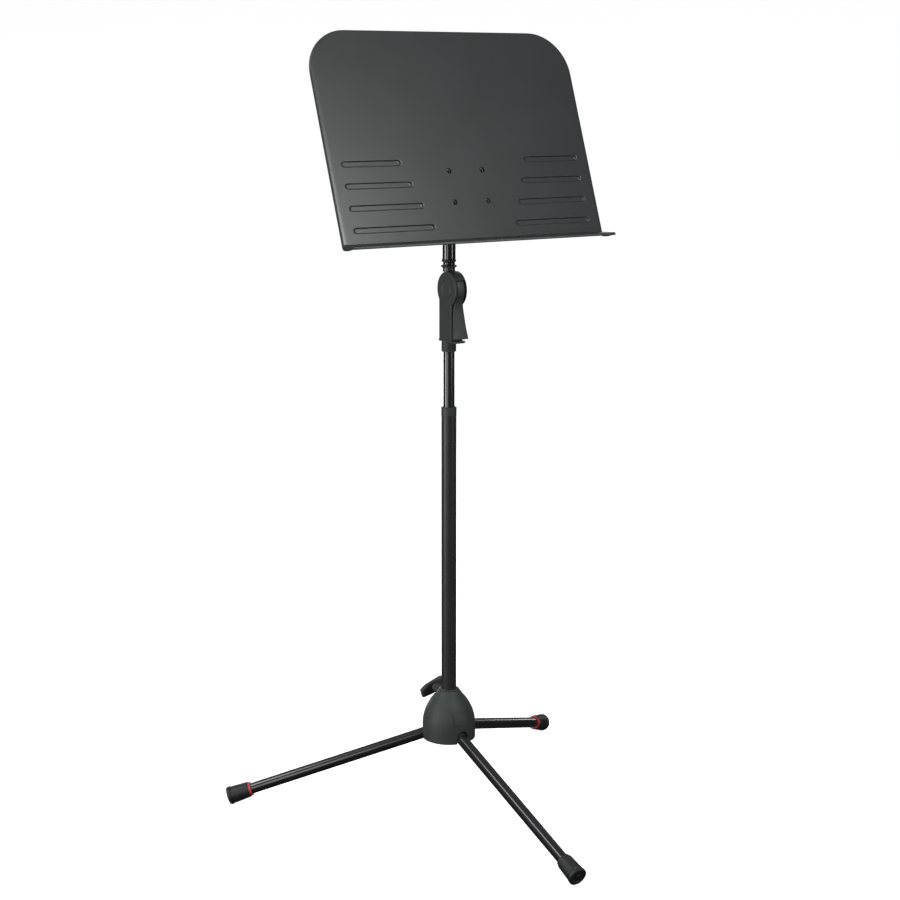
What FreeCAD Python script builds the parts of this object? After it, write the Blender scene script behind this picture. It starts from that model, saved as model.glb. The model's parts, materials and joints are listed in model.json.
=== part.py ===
import FreeCAD, Part
import math
import os

# Tripod music stand with a one-hand height clutch and a folded sheet-steel desk.
# Millimetres, +Z up.  The mast axis is X = Y = 0 and the floor is Z = 0.  The desk faces -Y.

V = FreeCAD.Vector
X_AXIS = V(1, 0, 0)
Y_AXIS = V(0, 1, 0)
Z_AXIS = V(0, 0, 1)

# ---------------------------------------------------------------------------
# Driving sizes
# ---------------------------------------------------------------------------

# Clearances
FREE_GAP = 0.3           # between pieces that move past each other
RUNNING_FIT = 0.05       # radial, a shaft turning or sliding in its bore
CUT = 1.0                # how far a cutter runs past the face it opens

# Legs
LEG_COUNT = 3
LEG_FIRST_DIRECTION = -90.0   # degrees about Z, the front leg
LEG_SLOPE = 18.4         # degrees below level when the stand is set up
LEG_REACH = 364.2        # pivot to the end of the boot
LEG_TUBE_OD = 19.0
LEG_TUBE_WALL = 1.2
LEG_TUBE_START = 11.0    # pivot to the tube's inner end
LEG_PLUG_LENGTH = 30.0
PIVOT_R = 32.0           # pivot pins from the mast axis
PIVOT_PIN_R = 3.0
LEG_ROOT_R = 9.3         # round knuckle about the pivot
LEG_ROOT_HALF_WIDTH = 9.9
NOSE_LENGTH = 15.0       # the nose reaches inward under the mast's foot
NOSE_HALF_HEIGHT = 4.0

# Rubber boots and their red rings
BOOT_LENGTH = 38.0
BOOT_SHOULDER_R = 13.3
SOLE_R = 15.5
SOLE_FLAT = 1.0          # depth of the flat the sole's rim stands on
BOOT_FLOOR = 5.0         # rubber past the tube's outer end
BOOT_SOLE_BAND = 7.0     # length of the heavier band at the sole
BOOT_GROOVE = 0.8
BOOT_GROOVE_HALF_WIDTH = 1.5
SOLE_RING_OUTER_R = 9.6
SOLE_RING_INNER_R = 5.0
SOLE_RING_EDGE = 1.1     # width of the ring's sloped edges
RING_R = 11.8
RING_WIDTH = 3.5

# Hub
HUB_R = 45.0
HUB_HEIGHT = 84.0
HUB_WALL = 3.5
HUB_STRAIGHT = 22.0      # height of the upright rim
HUB_NECK_R = 24.1        # radius where the bell meets its top cone
HUB_TOP_CONE = 9.5
HUB_TOP_R = 17.5
HUB_BELOW_PIVOT = 9.7
HUB_CAVITY_DROP = 16.0   # from the hub's top to the top of its hollow
GUIDE_LENGTH = 35.0      # sleeve that guides the mast
LINER_WALL = 2.4
GUIDE_WALL = 3.5
CHEEK_THICKNESS = 3.0
CHEEK_START_R = 22.5
CHEEK_HEIGHT = 30.0
SLOT_TOP = 11.3          # leg slot's arch above the pivot
PANEL_HALF_WIDTH = 16.0
PANEL_LOW = 20.0         # above the pivot
PANEL_HIGH = 44.0
PANEL_GROOVE = 2.2
PANEL_DEPTH = 0.8

# Mast clamp on the hub
CLAMP_DROP = 10.5        # below the hub's top
CLAMP_SCREW_R = 4.0
CLAMP_BOSS_R = 8.0
CLAMP_INSERT_R = 5.5
CLAMP_INSERT_LENGTH = 11.0
CLAMP_PAD_THICKNESS = 3.2
WING_SPAN = 27.0         # from the screw's axis to a wing's tip
WING_TIP_R = 7.5
WING_HUB_R = 10.0
WING_THICKNESS = 9.0
WING_STEM = 3.0
WING_TILT = 20.0

# Mast: outer tube, foot and collar
MAST_OD = 25.0
MAST_WALL = 1.2
MAST_LENGTH = 535.0
FOOT_R = 21.0
FOOT_THICKNESS = 4.0
FOOT_PLUG_LENGTH = 24.0
FOOT_BORE_R = 7.0
COLLAR_R = 12.75
COLLAR_HEIGHT = 13.5
COLLAR_SLEEVE = 36.0

# Inner tube and its brake
INNER_OD = 19.0
INNER_WALL = 1.2
INNER_LENGTH = 562.0
REST_EXTENSION = 92.0    # collar to clutch at this height setting
GUIDE_RING_LENGTH = 29.4
STOP_RING_CLEARANCE = 0.4   # radial, inside the mast
STOP_RING_WIDTH = 1.6
BRAKE_SHOULDER = 4.0
BRAKE_LENGTH = 38.0
BRAKE_CLEARANCE = 0.5    # radial, inside the mast
BRAKE_BORE_R = 7.6
BRAKE_PLUG = 18.0
SHOE_COUNT = 3
SHOE_LENGTH = 20.0
SHOE_HALF_WIDTH = 4.0
SHOE_INNER_R = 7.2
CONE_LARGE_R = 6.9
CONE_SMALL_R = 5.4
CONE_LENGTH = 19.0
ROD_R = 1.7
ROD_COLLAR_R = 6.2
ROD_COLLAR_WIDTH = 3.0
ROD_HEAD_R = 3.0
ROD_HEAD_WIDTH = 3.0
ROD_HEAD_GAP = 0.4       # above the trigger's lifting arm
ROD_COLLAR_RISE = 4.0    # above the brake body's plug
BRAKE_SPRING_LENGTH = 35.0
BRAKE_SPRING_R = 4.6
BRAKE_SPRING_TURNS = 8
BRAKE_SPRING_WIRE_R = 0.6
SPRING_SEAT_WIDTH = 6.0

# Clutch body
CLUTCH_SLEEVE_R = 12.0
CLUTCH_SLEEVE = 17.0
CLUTCH_RIB_COUNT = 36
CLUTCH_RIB = 0.3
PLATE_THICKNESS = 3.0
PLATE_REACH = 36.0       # the base plate in front of the mast axis
CLUTCH_HALF_WIDTH = 11.25
CLUTCH_BACK = 13.2       # behind the mast axis
CLUTCH_FRONT = 24.9      # in front of the mast axis
CLUTCH_GRIP = 60.0       # length of inner tube held in the shells
HEAD_R = 29.0
HEAD_FORWARD = 10.0      # the round head's centre, which is the trigger's pivot
HEAD_RISE = 82.0         # above the base plate's top
SHELL_ROUND = 2.4
CHEEK_WALL = 2.35        # shell wall beside the trigger
CAP_R = 15.0
CAP_SEAT = 1.0
CAP_PROUD = 0.5
TRIGGER_PIN_R = 2.5
CLUTCH_SCREW_R = 1.5
CLUTCH_SCREW_HEAD_R = 2.8
CLUTCH_SCREW_HEAD = 2.0
CLUTCH_SCREW_LOW = 10.0  # above the base plate
CLUTCH_SCREW_HIGH = 44.0
REAR_SCREW_INSET = 1.7   # in front of the grip's back
REAR_SCREW_RISE = 9.0    # above the pivot

# Trigger
TRIGGER_INSET = 0.5      # inside the head's rim
TRIGGER_PLATE = 4.0
TRIGGER_TOP = 15.8       # above the pivot
TRIGGER_WEB_HALF = 4.8
TRIGGER_ARM_TOP = 2.5    # the lifting arm's upper face above the pivot
TRIGGER_ARM = 6.0
TRIGGER_ARM_REACH = 14.0
TRIGGER_BOSS_R = 6.0
TRIGGER_WEB_HEIGHT = 6.0       # half height of the web at the pin
TRIGGER_WEB_HEIGHT_FRONT = 11.0
TRIGGER_BLADE_THICKNESS = 3.2
TRIGGER_CHAMFER = 1.2
# Blade sections: depth below the head's lowest point, half width and front face ahead of its front
TRIGGER_BLADE = (
    (-15.0, 8.2, -4.8),
    (-9.0, 8.3, -6.3),
    (-4.0, 8.8, -7.2),
    (2.0, 10.2, -7.5),
    (12.0, 11.0, -6.7),
    (22.0, 11.6, -5.0),
    (35.0, 12.5, -2.7),
    (46.0, 14.0, 0.3),
)
TRIGGER_ROOM_FLOOR = 3.0       # above the head's lowest point
TRIGGER_ROOM_BACK_DROP = 8.0   # below the pivot, behind the pin
TRIGGER_ROOM_DROP = 12.0       # below the pivot, in front of the pin
TRIGGER_ROOM_STEP = 4.0        # from the pivot to the room's inner corners
TRIGGER_SPRING_WIRE_R = 0.5
TRIGGER_SPRING_R = 4.2
TRIGGER_SPRING_TURNS = 2.5

# Stud, lock ring and neck
STUD_R = 7.94            # 5/8 inch thread
STUD_BASE_R = 8.0
STUD_BASE = 17.0
STUD_FLANGE_R = 9.6
STUD_FLANGE_WIDTH = 3.0
STUD_COLLAR_R = 10.2
STUD_COLLAR = 5.7
STUD_THREAD = 32.0
LOCK_LOW_R = 13.0
LOCK_HIGH_R = 12.0
LOCK_GROOVE_R = 10.0
LOCK_HEIGHT = 12.0
LOCK_FLANGE = 3.0
LOCK_NOTCHES = 24
LOCK_NOTCH_R = 0.8
NECK_OD = 22.0
NECK_WALL = 1.5
NECK_LENGTH = 76.0
NECK_INSERT = 18.0
NECK_INSERT_RISE = 2.0
NECK_PLUG = 26.0
NECK_SHOULDER = 5.0
NECK_RIM = 0.8           # chamfer of the neck's lower rim

# Tilt joint
TILT_RISE = 24.0         # pivot above the neck tube
TILT_HEAD_R = 13.0
TILT_HEAD_HALF = 9.5
FRICTION_WASHER = 0.8
FRICTION_WASHER_R = 11.0
TILT_BOLT_R = 4.0
EAR_THICKNESS = 2.0
EAR_R = 13.0
EAR_ROOT_HALF = 24.0
TILT_NUT = 6.5
TILT_NUT_FLATS = 13.0
TILT_WASHER = 1.5
TILT_WASHER_R = 9.0
TILT_KNOB_R = 20.0
TILT_KNOB_LOBES = 6
TILT_KNOB_THICKNESS = 15.0
TILT_KNOB_CORE_R = 16.4
TILT_KNOB_LOBE_R = 6.0
TILT_BOLT_DEPTH = 10.5   # how far the bolt reaches into the knob

# Desk
DESK_WIDTH = 480.0
DESK_HEIGHT = 339.0      # from the fold to the top
DESK_CORNER_R = 70.0
DESK_SHEET = 1.0
DESK_FLANGE = 5.0
DESK_ROUND = 1.5
DESK_LEAN = 20.7         # degrees back from upright
PLATE_AHEAD = 62.3       # desk's face in front of the tilt pivot
PIVOT_ABOVE_FOLD = 87.6
LEDGE_DEPTH = 36.0
LEDGE_ANGLE = 108.0      # between the desk's face and its ledge
LEDGE_HEM = 4.5
LEDGE_END_DROP = 7.5
LEDGE_END_FORWARD = 10.0 # the end flange keeps its full drop up to here
LEDGE_END_HEEL = 1.8     # its rear corner, along the ledge
LEDGE_END_HEEL_DROP = 6.4
RIB_HALF_WIDTH = 4.6
RIB_DEPTH = 1.5
RIB_DRAFT = 1.1
RIB_COUNT = 4
RIB_LOW = 22.0           # lowest rib above the fold
RIB_PITCH = 34.6
RIB_OUTER = 217.5        # ribs' outer ends from the middle
RIB_INNER_LOW = 75.5     # the lowest rib's inner end
RIB_INNER_STEP = 13.0    # each higher rib's inner end is this much further out

# Desk bracket and its screws
BRACKET_HALF_WIDTH = 42.0
BRACKET_MARGIN = 12.0    # bracket plate past the screws
SCREW_HALF_SPACING = 30.7
SCREW_LOW = 60.4         # above the fold
SCREW_HIGH = 110.8
DESK_SCREW_R = 2.5
DESK_SCREW_HEAD_R = 4.6
DESK_SCREW_HEAD = 2.2
DESK_SCREW_SOCKET_R = 1.6
DESK_NUT = 4.0
DESK_NUT_FLATS = 8.0
DESK_SCREW_TAIL = 1.5

# ---------------------------------------------------------------------------
# Sizes that follow from them
# ---------------------------------------------------------------------------

slope = math.radians(LEG_SLOPE)
pivot_z = SOLE_R * math.cos(slope) - SOLE_FLAT + LEG_REACH * math.sin(slope)
mast_r = MAST_OD / 2
mast_bore_r = mast_r - MAST_WALL
brake_r = mast_bore_r - BRAKE_CLEARANCE
inner_r = INNER_OD / 2
inner_bore_r = inner_r - INNER_WALL
leg_r = LEG_TUBE_OD / 2
leg_bore_r = leg_r - LEG_TUBE_WALL
neck_r = NECK_OD / 2
neck_bore_r = neck_r - NECK_WALL

hub_rim_z = pivot_z - HUB_BELOW_PIVOT
hub_top_z = hub_rim_z + HUB_HEIGHT
liner_bore_r = mast_r + RUNNING_FIT
liner_r = liner_bore_r + LINER_WALL
guide_r = liner_r + GUIDE_WALL
guide_low_z = hub_top_z - GUIDE_LENGTH
slot_half = LEG_ROOT_HALF_WIDTH + FREE_GAP
clamp_z = hub_top_z - CLAMP_DROP

nose_top = NOSE_LENGTH * math.sin(slope) + NOSE_HALF_HEIGHT * math.cos(slope)
foot_z = pivot_z + nose_top + FREE_GAP
mast_low_z = foot_z + FOOT_THICKNESS
mast_top_z = mast_low_z + MAST_LENGTH
collar_top_z = mast_top_z + COLLAR_HEIGHT

clutch_low_z = collar_top_z + REST_EXTENSION
plate_top_z = clutch_low_z + CLUTCH_SLEEVE + PLATE_THICKNESS
inner_top_z = plate_top_z + CLUTCH_GRIP
inner_low_z = inner_top_z - INNER_LENGTH
head_z = plate_top_z + HEAD_RISE
head_y = -HEAD_FORWARD
head_front_y = head_y - HEAD_R
head_low_z = head_z - HEAD_R
trigger_r = HEAD_R - TRIGGER_INSET
stud_low_z = head_z + HEAD_R - STUD_BASE
collar_low_z = stud_low_z + STUD_BASE
lock_low_z = collar_low_z + STUD_COLLAR + FREE_GAP
neck_low_z = lock_low_z + LOCK_HEIGHT + FREE_GAP
neck_top_z = neck_low_z + NECK_LENGTH
tilt_z = neck_top_z + TILT_RISE

brake_top_z = inner_low_z
brake_low_z = brake_top_z - BRAKE_LENGTH
plug_top_z = inner_low_z + BRAKE_PLUG
rod_collar_z = plug_top_z + ROD_COLLAR_RISE
spring_low_z = rod_collar_z + ROD_COLLAR_WIDTH
spring_top_z = spring_low_z + BRAKE_SPRING_LENGTH
arm_top_z = head_z + TRIGGER_ARM_TOP
rod_head_z = arm_top_z + ROD_HEAD_GAP


# ---------------------------------------------------------------------------
# Helpers
# ---------------------------------------------------------------------------

def save(name, shape):
    """Write one sub-part."""
    shape.exportStep("parts/" + name + ".step")


def rod(radius, length, start, axis=Z_AXIS):
    """Solid cylinder from a point along an axis."""
    return Part.makeCylinder(radius, length, start, axis)


def pipe(outer, inner, z_low, z_high):
    """Upright tube on the mast axis."""
    height = z_high - z_low
    solid = rod(outer, height, V(0, 0, z_low))
    return solid.cut(rod(inner, height + 2 * CUT, V(0, 0, z_low - CUT)))


def polygon_face(points):
    """Flat face through corner points."""
    return Part.Face(Part.makePolygon(points + [points[0]]))


def turned(outline):
    """Solid of revolution about Z from (radius, height) corners."""
    face = polygon_face([V(r, 0, z) for r, z in outline])
    return face.revolve(V(0, 0, 0), Z_AXIS, 360)


def side_prism(outline, half_width):
    """Prism across X from (y, z) corners."""
    face = polygon_face([V(-half_width, y, z) for y, z in outline])
    return face.extrude(V(2 * half_width, 0, 0))


def across(radius, half_width, y, z):
    """Cylinder across X, centred on X = 0."""
    return rod(radius, 2 * half_width, V(-half_width, y, z), X_AXIS)


def box(x_low, x_high, y_low, y_high, z_low, z_high):
    """Box between two corners."""
    return Part.makeBox(x_high - x_low, y_high - y_low, z_high - z_low, V(x_low, y_low, z_low))


def hexagon(flats, length, start, axis):
    """Hexagonal prism from a point along an axis."""
    corner = flats / math.sqrt(3)
    points = [
        V(corner * math.cos(math.radians(60 * i)), corner * math.sin(math.radians(60 * i)), 0)
        for i in range(6)
    ]
    prism = polygon_face(points).extrude(V(0, 0, length))
    prism.Placement = FreeCAD.Placement(start, FreeCAD.Rotation(Z_AXIS, axis))
    return prism


def coil(radius, wire_r, turns, length):
    """Round-wire spring standing on Z = 0 between its wire centres."""
    path = Part.makeHelix(length / turns, length, radius)
    circle = Part.makeCircle(wire_r, V(radius, 0, 0), Y_AXIS)
    return path.makePipeShell([Part.Wire([circle])], True, True)


def in_desk_frame(shape):
    """Lean the desk's upright shapes back and lift them to the tilt pivot."""
    leaned = shape.copy()
    leaned.rotate(V(0, 0, 0), X_AXIS, -DESK_LEAN)
    leaned.translate(V(0, 0, tilt_z))
    return leaned


# ---------------------------------------------------------------------------
# Hub
# ---------------------------------------------------------------------------

bell_straight_z = hub_rim_z + HUB_STRAIGHT
bell_neck_z = hub_top_z - HUB_TOP_CONE
bell_run = HUB_R - HUB_NECK_R
bell_rise = bell_neck_z - bell_straight_z
bell_arc_r = (bell_run ** 2 + bell_rise ** 2) / (2 * bell_run)
bell_centre_r = HUB_R - bell_arc_r


def bell_radius(z, inset=0.0):
    """Outer radius of the bell at a height on its curved stretch, less an inset."""
    rise = z - bell_straight_z
    return bell_centre_r + math.sqrt((bell_arc_r - inset) ** 2 - rise ** 2)


def bell(inset, z_low, z_top):
    """Solid bell under z_top, inset from the hub's outer surface."""
    r_top = bell_radius(z_top, inset)
    arc_r = bell_arc_r - inset
    middle = math.asin((z_top - bell_straight_z) / arc_r) / 2
    low = V(HUB_R - inset, 0, bell_straight_z)
    via = V(bell_centre_r + arc_r * math.cos(middle), 0, bell_straight_z + arc_r * math.sin(middle))
    high = V(r_top, 0, z_top)
    edges = [
        Part.makeLine(V(0, 0, z_low), V(HUB_R - inset, 0, z_low)),
        Part.makeLine(V(HUB_R - inset, 0, z_low), low),
        Part.Arc(low, via, high).toShape(),
        Part.makeLine(high, V(0, 0, z_top)),
        Part.makeLine(V(0, 0, z_top), V(0, 0, z_low)),
    ]
    return Part.Face(Part.Wire(edges)).revolve(V(0, 0, 0), Z_AXIS, 360)


def leg_angle(index):
    """Direction of a leg about Z, in degrees."""
    return LEG_FIRST_DIRECTION + index * 360.0 / LEG_COUNT


def around_hub(shape, index):
    """Turn a shape built towards +X to face a leg's direction."""
    turned_shape = shape.copy()
    turned_shape.rotate(V(0, 0, 0), Z_AXIS, leg_angle(index))
    return turned_shape


knob_face_y = bell_radius(clamp_z - WING_SPAN) + 3 * FREE_GAP
boss_end_y = knob_face_y - WING_STEM - 2 * FREE_GAP
insert_start_y = boss_end_y - CLAMP_INSERT_LENGTH
pad_start_y = mast_r + FREE_GAP
screw_start_y = pad_start_y + CLAMP_PAD_THICKNESS + FREE_GAP


def hub_shell():
    """Bell housing with mast guide, leg cheeks, slots, clamp boss and a plain framed panel."""
    outer = bell(0, hub_rim_z, bell_neck_z)
    cone = Part.makeCone(HUB_NECK_R, HUB_TOP_R, HUB_TOP_CONE, V(0, 0, bell_neck_z))
    shell = outer.fuse(cone)
    shell = shell.cut(bell(HUB_WALL, hub_rim_z - CUT, hub_top_z - HUB_CAVITY_DROP))
    guide = rod(guide_r, hub_top_z - HUB_TOP_CONE - guide_low_z, V(0, 0, guide_low_z))
    shell = shell.fuse(guide)
    inside = bell(HUB_WALL / 2, hub_rim_z, bell_neck_z)
    for index in range(LEG_COUNT):
        for side in (-1, 1):
            near = side * slot_half
            far = side * (slot_half + CHEEK_THICKNESS)
            cheek = box(CHEEK_START_R, HUB_R, min(near, far), max(near, far),
                        hub_rim_z, hub_rim_z + CHEEK_HEIGHT)
            shell = shell.fuse(around_hub(cheek, index).common(inside))
    boss = rod(CLAMP_BOSS_R, boss_end_y - liner_r, V(0, liner_r, clamp_z), Y_AXIS)
    shell = shell.fuse(boss)
    for index in range(LEG_COUNT):
        arch_z = pivot_z + SLOT_TOP - slot_half
        slot = box(PIVOT_R, HUB_R + CUT, -slot_half, slot_half, hub_rim_z - CUT, arch_z)
        arch = rod(slot_half, HUB_R + CUT - PIVOT_R, V(PIVOT_R, 0, arch_z), X_AXIS)
        shell = shell.cut(around_hub(slot.fuse(arch), index))
        reach = slot_half + CHEEK_THICKNESS
        pin_bore = rod(PIVOT_PIN_R, 2 * reach, V(PIVOT_R, -reach, pivot_z), Y_AXIS)
        shell = shell.cut(around_hub(pin_bore, index))
    shell = shell.cut(rod(liner_r, GUIDE_LENGTH + 2 * CUT, V(0, 0, guide_low_z - CUT)))
    shell = shell.cut(rod(CLAMP_SCREW_R + FREE_GAP, insert_start_y, V(0, 0, clamp_z), Y_AXIS))
    shell = shell.cut(rod(CLAMP_INSERT_R, boss_end_y, V(0, insert_start_y, clamp_z), Y_AXIS))
    skin = bell(0, hub_rim_z, bell_neck_z).cut(bell(PANEL_DEPTH, hub_rim_z - CUT, bell_neck_z))
    frame = box(-PANEL_HALF_WIDTH, PANEL_HALF_WIDTH, -HUB_R - CUT, 0,
                pivot_z + PANEL_LOW, pivot_z + PANEL_HIGH)
    plain = box(-PANEL_HALF_WIDTH + PANEL_GROOVE, PANEL_HALF_WIDTH - PANEL_GROOVE,
                -HUB_R - CUT, 0,
                pivot_z + PANEL_LOW + PANEL_GROOVE, pivot_z + PANEL_HIGH - PANEL_GROOVE)
    return shell.cut(skin.common(frame.cut(plain))).removeSplitter()


def hub_liner():
    """Nylon bush that the mast slides in, with a window for the clamp pad."""
    bush = pipe(liner_r, liner_bore_r, guide_low_z, hub_top_z)
    return bush.cut(rod(CLAMP_SCREW_R + FREE_GAP, liner_r + CUT, V(0, 0, clamp_z), Y_AXIS))


def leg_pivot_pins():
    """Three steel pins, pressed into the cheeks."""
    reach = slot_half + CHEEK_THICKNESS
    pin = rod(PIVOT_PIN_R, 2 * reach, V(PIVOT_R, -reach, pivot_z), Y_AXIS)
    return Part.makeCompound([around_hub(pin, index) for index in range(LEG_COUNT)])


def clamp_insert():
    """Threaded brass insert in the hub's clamp boss."""
    solid = rod(CLAMP_INSERT_R, CLAMP_INSERT_LENGTH, V(0, insert_start_y, clamp_z), Y_AXIS)
    bore_r = CLAMP_SCREW_R + RUNNING_FIT
    return solid.cut(rod(bore_r, boss_end_y, V(0, insert_start_y - CUT, clamp_z), Y_AXIS))


def clamp_pad():
    """Nylon pad between the clamp screw and the mast."""
    return rod(CLAMP_SCREW_R + FREE_GAP, CLAMP_PAD_THICKNESS, V(0, pad_start_y, clamp_z), Y_AXIS)


def clamp_screw():
    """Clamp screw, from the pad to inside the knob."""
    length = knob_face_y + WING_THICKNESS / 2 - screw_start_y
    return rod(CLAMP_SCREW_R, length, V(0, screw_start_y, clamp_z), Y_AXIS)


def wing_knob():
    """Two-winged knob moulded on the clamp screw."""
    tip = WING_SPAN - WING_TIP_R
    blade_y = knob_face_y
    body = rod(WING_HUB_R, WING_THICKNESS, V(0, blade_y, 0), Y_AXIS)
    for side in (-1, 1):
        body = body.fuse(rod(WING_TIP_R, WING_THICKNESS, V(side * tip, blade_y, 0), Y_AXIS))
        flank = polygon_face([
            V(0, blade_y, WING_HUB_R),
            V(side * tip, blade_y, WING_TIP_R),
            V(side * tip, blade_y, -WING_TIP_R),
            V(0, blade_y, -WING_HUB_R),
        ])
        body = body.fuse(flank.extrude(V(0, WING_THICKNESS, 0)))
    body = body.removeSplitter()
    stem = rod(WING_HUB_R - CUT, WING_STEM + CUT, V(0, blade_y - WING_STEM, 0), Y_AXIS)
    body = body.fuse(stem)
    body.rotate(V(0, 0, 0), Y_AXIS, -WING_TILT)
    body.translate(V(0, 0, clamp_z))
    return body.cut(clamp_screw()).removeSplitter()


# ---------------------------------------------------------------------------
# Legs, built along +X from the pivot and then sloped down
# ---------------------------------------------------------------------------

tube_end = LEG_REACH - BOOT_FLOOR
boot_start = LEG_REACH - BOOT_LENGTH


def place_leg(shape, index):
    """Slope a leg piece down from its pivot and turn it to its direction."""
    placed = shape.copy()
    placed.rotate(V(0, 0, 0), Y_AXIS, LEG_SLOPE)
    placed.translate(V(PIVOT_R, 0, pivot_z))
    return around_hub(placed, index)


def leg_root():
    """Knuckle, nose and tube plug in one moulding."""
    knuckle = rod(LEG_ROOT_R, 2 * LEG_ROOT_HALF_WIDTH, V(0, -LEG_ROOT_HALF_WIDTH, 0), Y_AXIS)
    nose = box(-NOSE_LENGTH, 0, -LEG_ROOT_HALF_WIDTH, LEG_ROOT_HALF_WIDTH,
               -NOSE_HALF_HEIGHT, NOSE_HALF_HEIGHT)
    collar = rod(leg_r, LEG_TUBE_START, V(0, 0, 0), X_AXIS)
    plug = rod(leg_bore_r, LEG_PLUG_LENGTH + CUT, V(LEG_TUBE_START - CUT, 0, 0), X_AXIS)
    root = knuckle.fuse([nose, collar, plug])
    bore_r = PIVOT_PIN_R + RUNNING_FIT
    bore = rod(bore_r, 4 * LEG_ROOT_HALF_WIDTH, V(0, -2 * LEG_ROOT_HALF_WIDTH, 0), Y_AXIS)
    return root.cut(bore).removeSplitter()


def leg_tube():
    """Steel leg tube."""
    length = tube_end - LEG_TUBE_START
    solid = rod(leg_r, length, V(LEG_TUBE_START, 0, 0), X_AXIS)
    return solid.cut(rod(leg_bore_r, length + 2 * CUT, V(LEG_TUBE_START - CUT, 0, 0), X_AXIS))


def leg_ring():
    """Coloured ring against the boot's shoulder."""
    start = boot_start - RING_WIDTH
    solid = rod(RING_R, RING_WIDTH, V(start, 0, 0), X_AXIS)
    return solid.cut(rod(leg_r, RING_WIDTH + 2 * CUT, V(start - CUT, 0, 0), X_AXIS))


def leg_boot():
    """Flared rubber boot with a heavy sole band, a groove and a ringed end."""
    band = LEG_REACH - BOOT_SOLE_BAND
    groove = BOOT_GROOVE_HALF_WIDTH
    outline = [
        (boot_start, leg_r),
        (boot_start, BOOT_SHOULDER_R - CUT),
        (boot_start + CUT, BOOT_SHOULDER_R),
        (band - groove, SOLE_R - BOOT_GROOVE),
        (band, SOLE_R - 2 * BOOT_GROOVE),
        (band + groove, SOLE_R),
        (LEG_REACH - CUT, SOLE_R),
        (LEG_REACH, SOLE_R - CUT),
        (LEG_REACH, SOLE_RING_OUTER_R),
        (LEG_REACH - CUT, SOLE_RING_OUTER_R - SOLE_RING_EDGE),
        (LEG_REACH - CUT, SOLE_RING_INNER_R),
        (LEG_REACH, SOLE_RING_INNER_R - SOLE_RING_EDGE),
        (LEG_REACH, 0),
        (tube_end, 0),
        (tube_end, leg_r),
    ]
    face = polygon_face([V(x, 0, r) for x, r in outline])
    return face.revolve(V(0, 0, 0), X_AXIS, 360)


def grounded(shape):
    """Cut away what would reach below the floor."""
    span = 2 * (PIVOT_R + LEG_REACH)
    return shape.cut(box(-span, span, -span, span, -span, 0))


# ---------------------------------------------------------------------------
# Mast
# ---------------------------------------------------------------------------

def mast_tube():
    """Outer tube."""
    return pipe(mast_r, mast_bore_r, mast_low_z, mast_top_z)


def mast_foot():
    """Flange that holds the leg noses down, with a plug up the tube."""
    return turned([
        (FOOT_BORE_R, foot_z),
        (FOOT_R, foot_z),
        (FOOT_R, mast_low_z - CUT),
        (FOOT_R - CUT, mast_low_z),
        (mast_bore_r, mast_low_z),
        (mast_bore_r, mast_low_z + FOOT_PLUG_LENGTH),
        (FOOT_BORE_R, mast_low_z + FOOT_PLUG_LENGTH),
    ])


def mast_collar():
    """Nylon collar and upper bush in the mast's top."""
    bore = inner_r + RUNNING_FIT
    return turned([
        (bore, mast_top_z - COLLAR_SLEEVE),
        (mast_bore_r, mast_top_z - COLLAR_SLEEVE),
        (mast_bore_r, mast_top_z),
        (COLLAR_R, mast_top_z),
        (COLLAR_R, collar_top_z - CUT),
        (COLLAR_R - CUT, collar_top_z),
        (bore, collar_top_z),
    ])


# ---------------------------------------------------------------------------
# Inner tube, brake and release rod
# ---------------------------------------------------------------------------

def guide_ring():
    """Sliding ring that centres the inner tube's lower end in the mast."""
    low = inner_low_z + FREE_GAP
    return pipe(mast_bore_r - RUNNING_FIT, inner_r + RUNNING_FIT, low, low + GUIDE_RING_LENGTH)


def stop_ring():
    """Spring ring that keeps the guide ring on the inner tube."""
    low = inner_low_z + 2 * FREE_GAP + GUIDE_RING_LENGTH
    return pipe(mast_bore_r - STOP_RING_CLEARANCE, inner_r, low, low + STOP_RING_WIDTH)


def inner_tube():
    """Inner tube."""
    return pipe(inner_r, inner_bore_r, inner_low_z, inner_top_z)


shoe_low_z = brake_low_z + (BRAKE_LENGTH - SHOE_LENGTH) / 2


def brake_body():
    """Cage with three windows under the inner tube, and the plug that holds it in."""
    cage = pipe(brake_r, BRAKE_BORE_R, brake_low_z, brake_top_z - BRAKE_SHOULDER)
    shoulder = rod(brake_r, BRAKE_SHOULDER, V(0, 0, brake_top_z - BRAKE_SHOULDER))
    plug = rod(inner_bore_r, BRAKE_PLUG, V(0, 0, brake_top_z))
    body = cage.fuse([shoulder, plug])
    body = body.cut(rod(ROD_R + RUNNING_FIT, 3 * BRAKE_LENGTH, V(0, 0, brake_low_z - CUT)))
    half = SHOE_HALF_WIDTH + RUNNING_FIT
    for index in range(SHOE_COUNT):
        window = box(0, brake_r + CUT, -half, half,
                     shoe_low_z - RUNNING_FIT, shoe_low_z + SHOE_LENGTH + RUNNING_FIT)
        window.rotate(V(0, 0, 0), Z_AXIS, index * 360.0 / SHOE_COUNT)
        body = body.cut(window)
    return body.removeSplitter()


def brake_shoes():
    """Three shoes in the cage's windows, a sliding fit from the mast's wall."""
    shoes = []
    for index in range(SHOE_COUNT):
        block = box(0, brake_r + 2 * CUT, -SHOE_HALF_WIDTH, SHOE_HALF_WIDTH,
                    shoe_low_z, shoe_low_z + SHOE_LENGTH)
        ring = pipe(mast_bore_r - RUNNING_FIT, SHOE_INNER_R, shoe_low_z, shoe_low_z + SHOE_LENGTH)
        shoe = ring.common(block)
        shoe.rotate(V(0, 0, 0), Z_AXIS, index * 360.0 / SHOE_COUNT)
        shoes.append(shoe)
    return Part.makeCompound(shoes)


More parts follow.
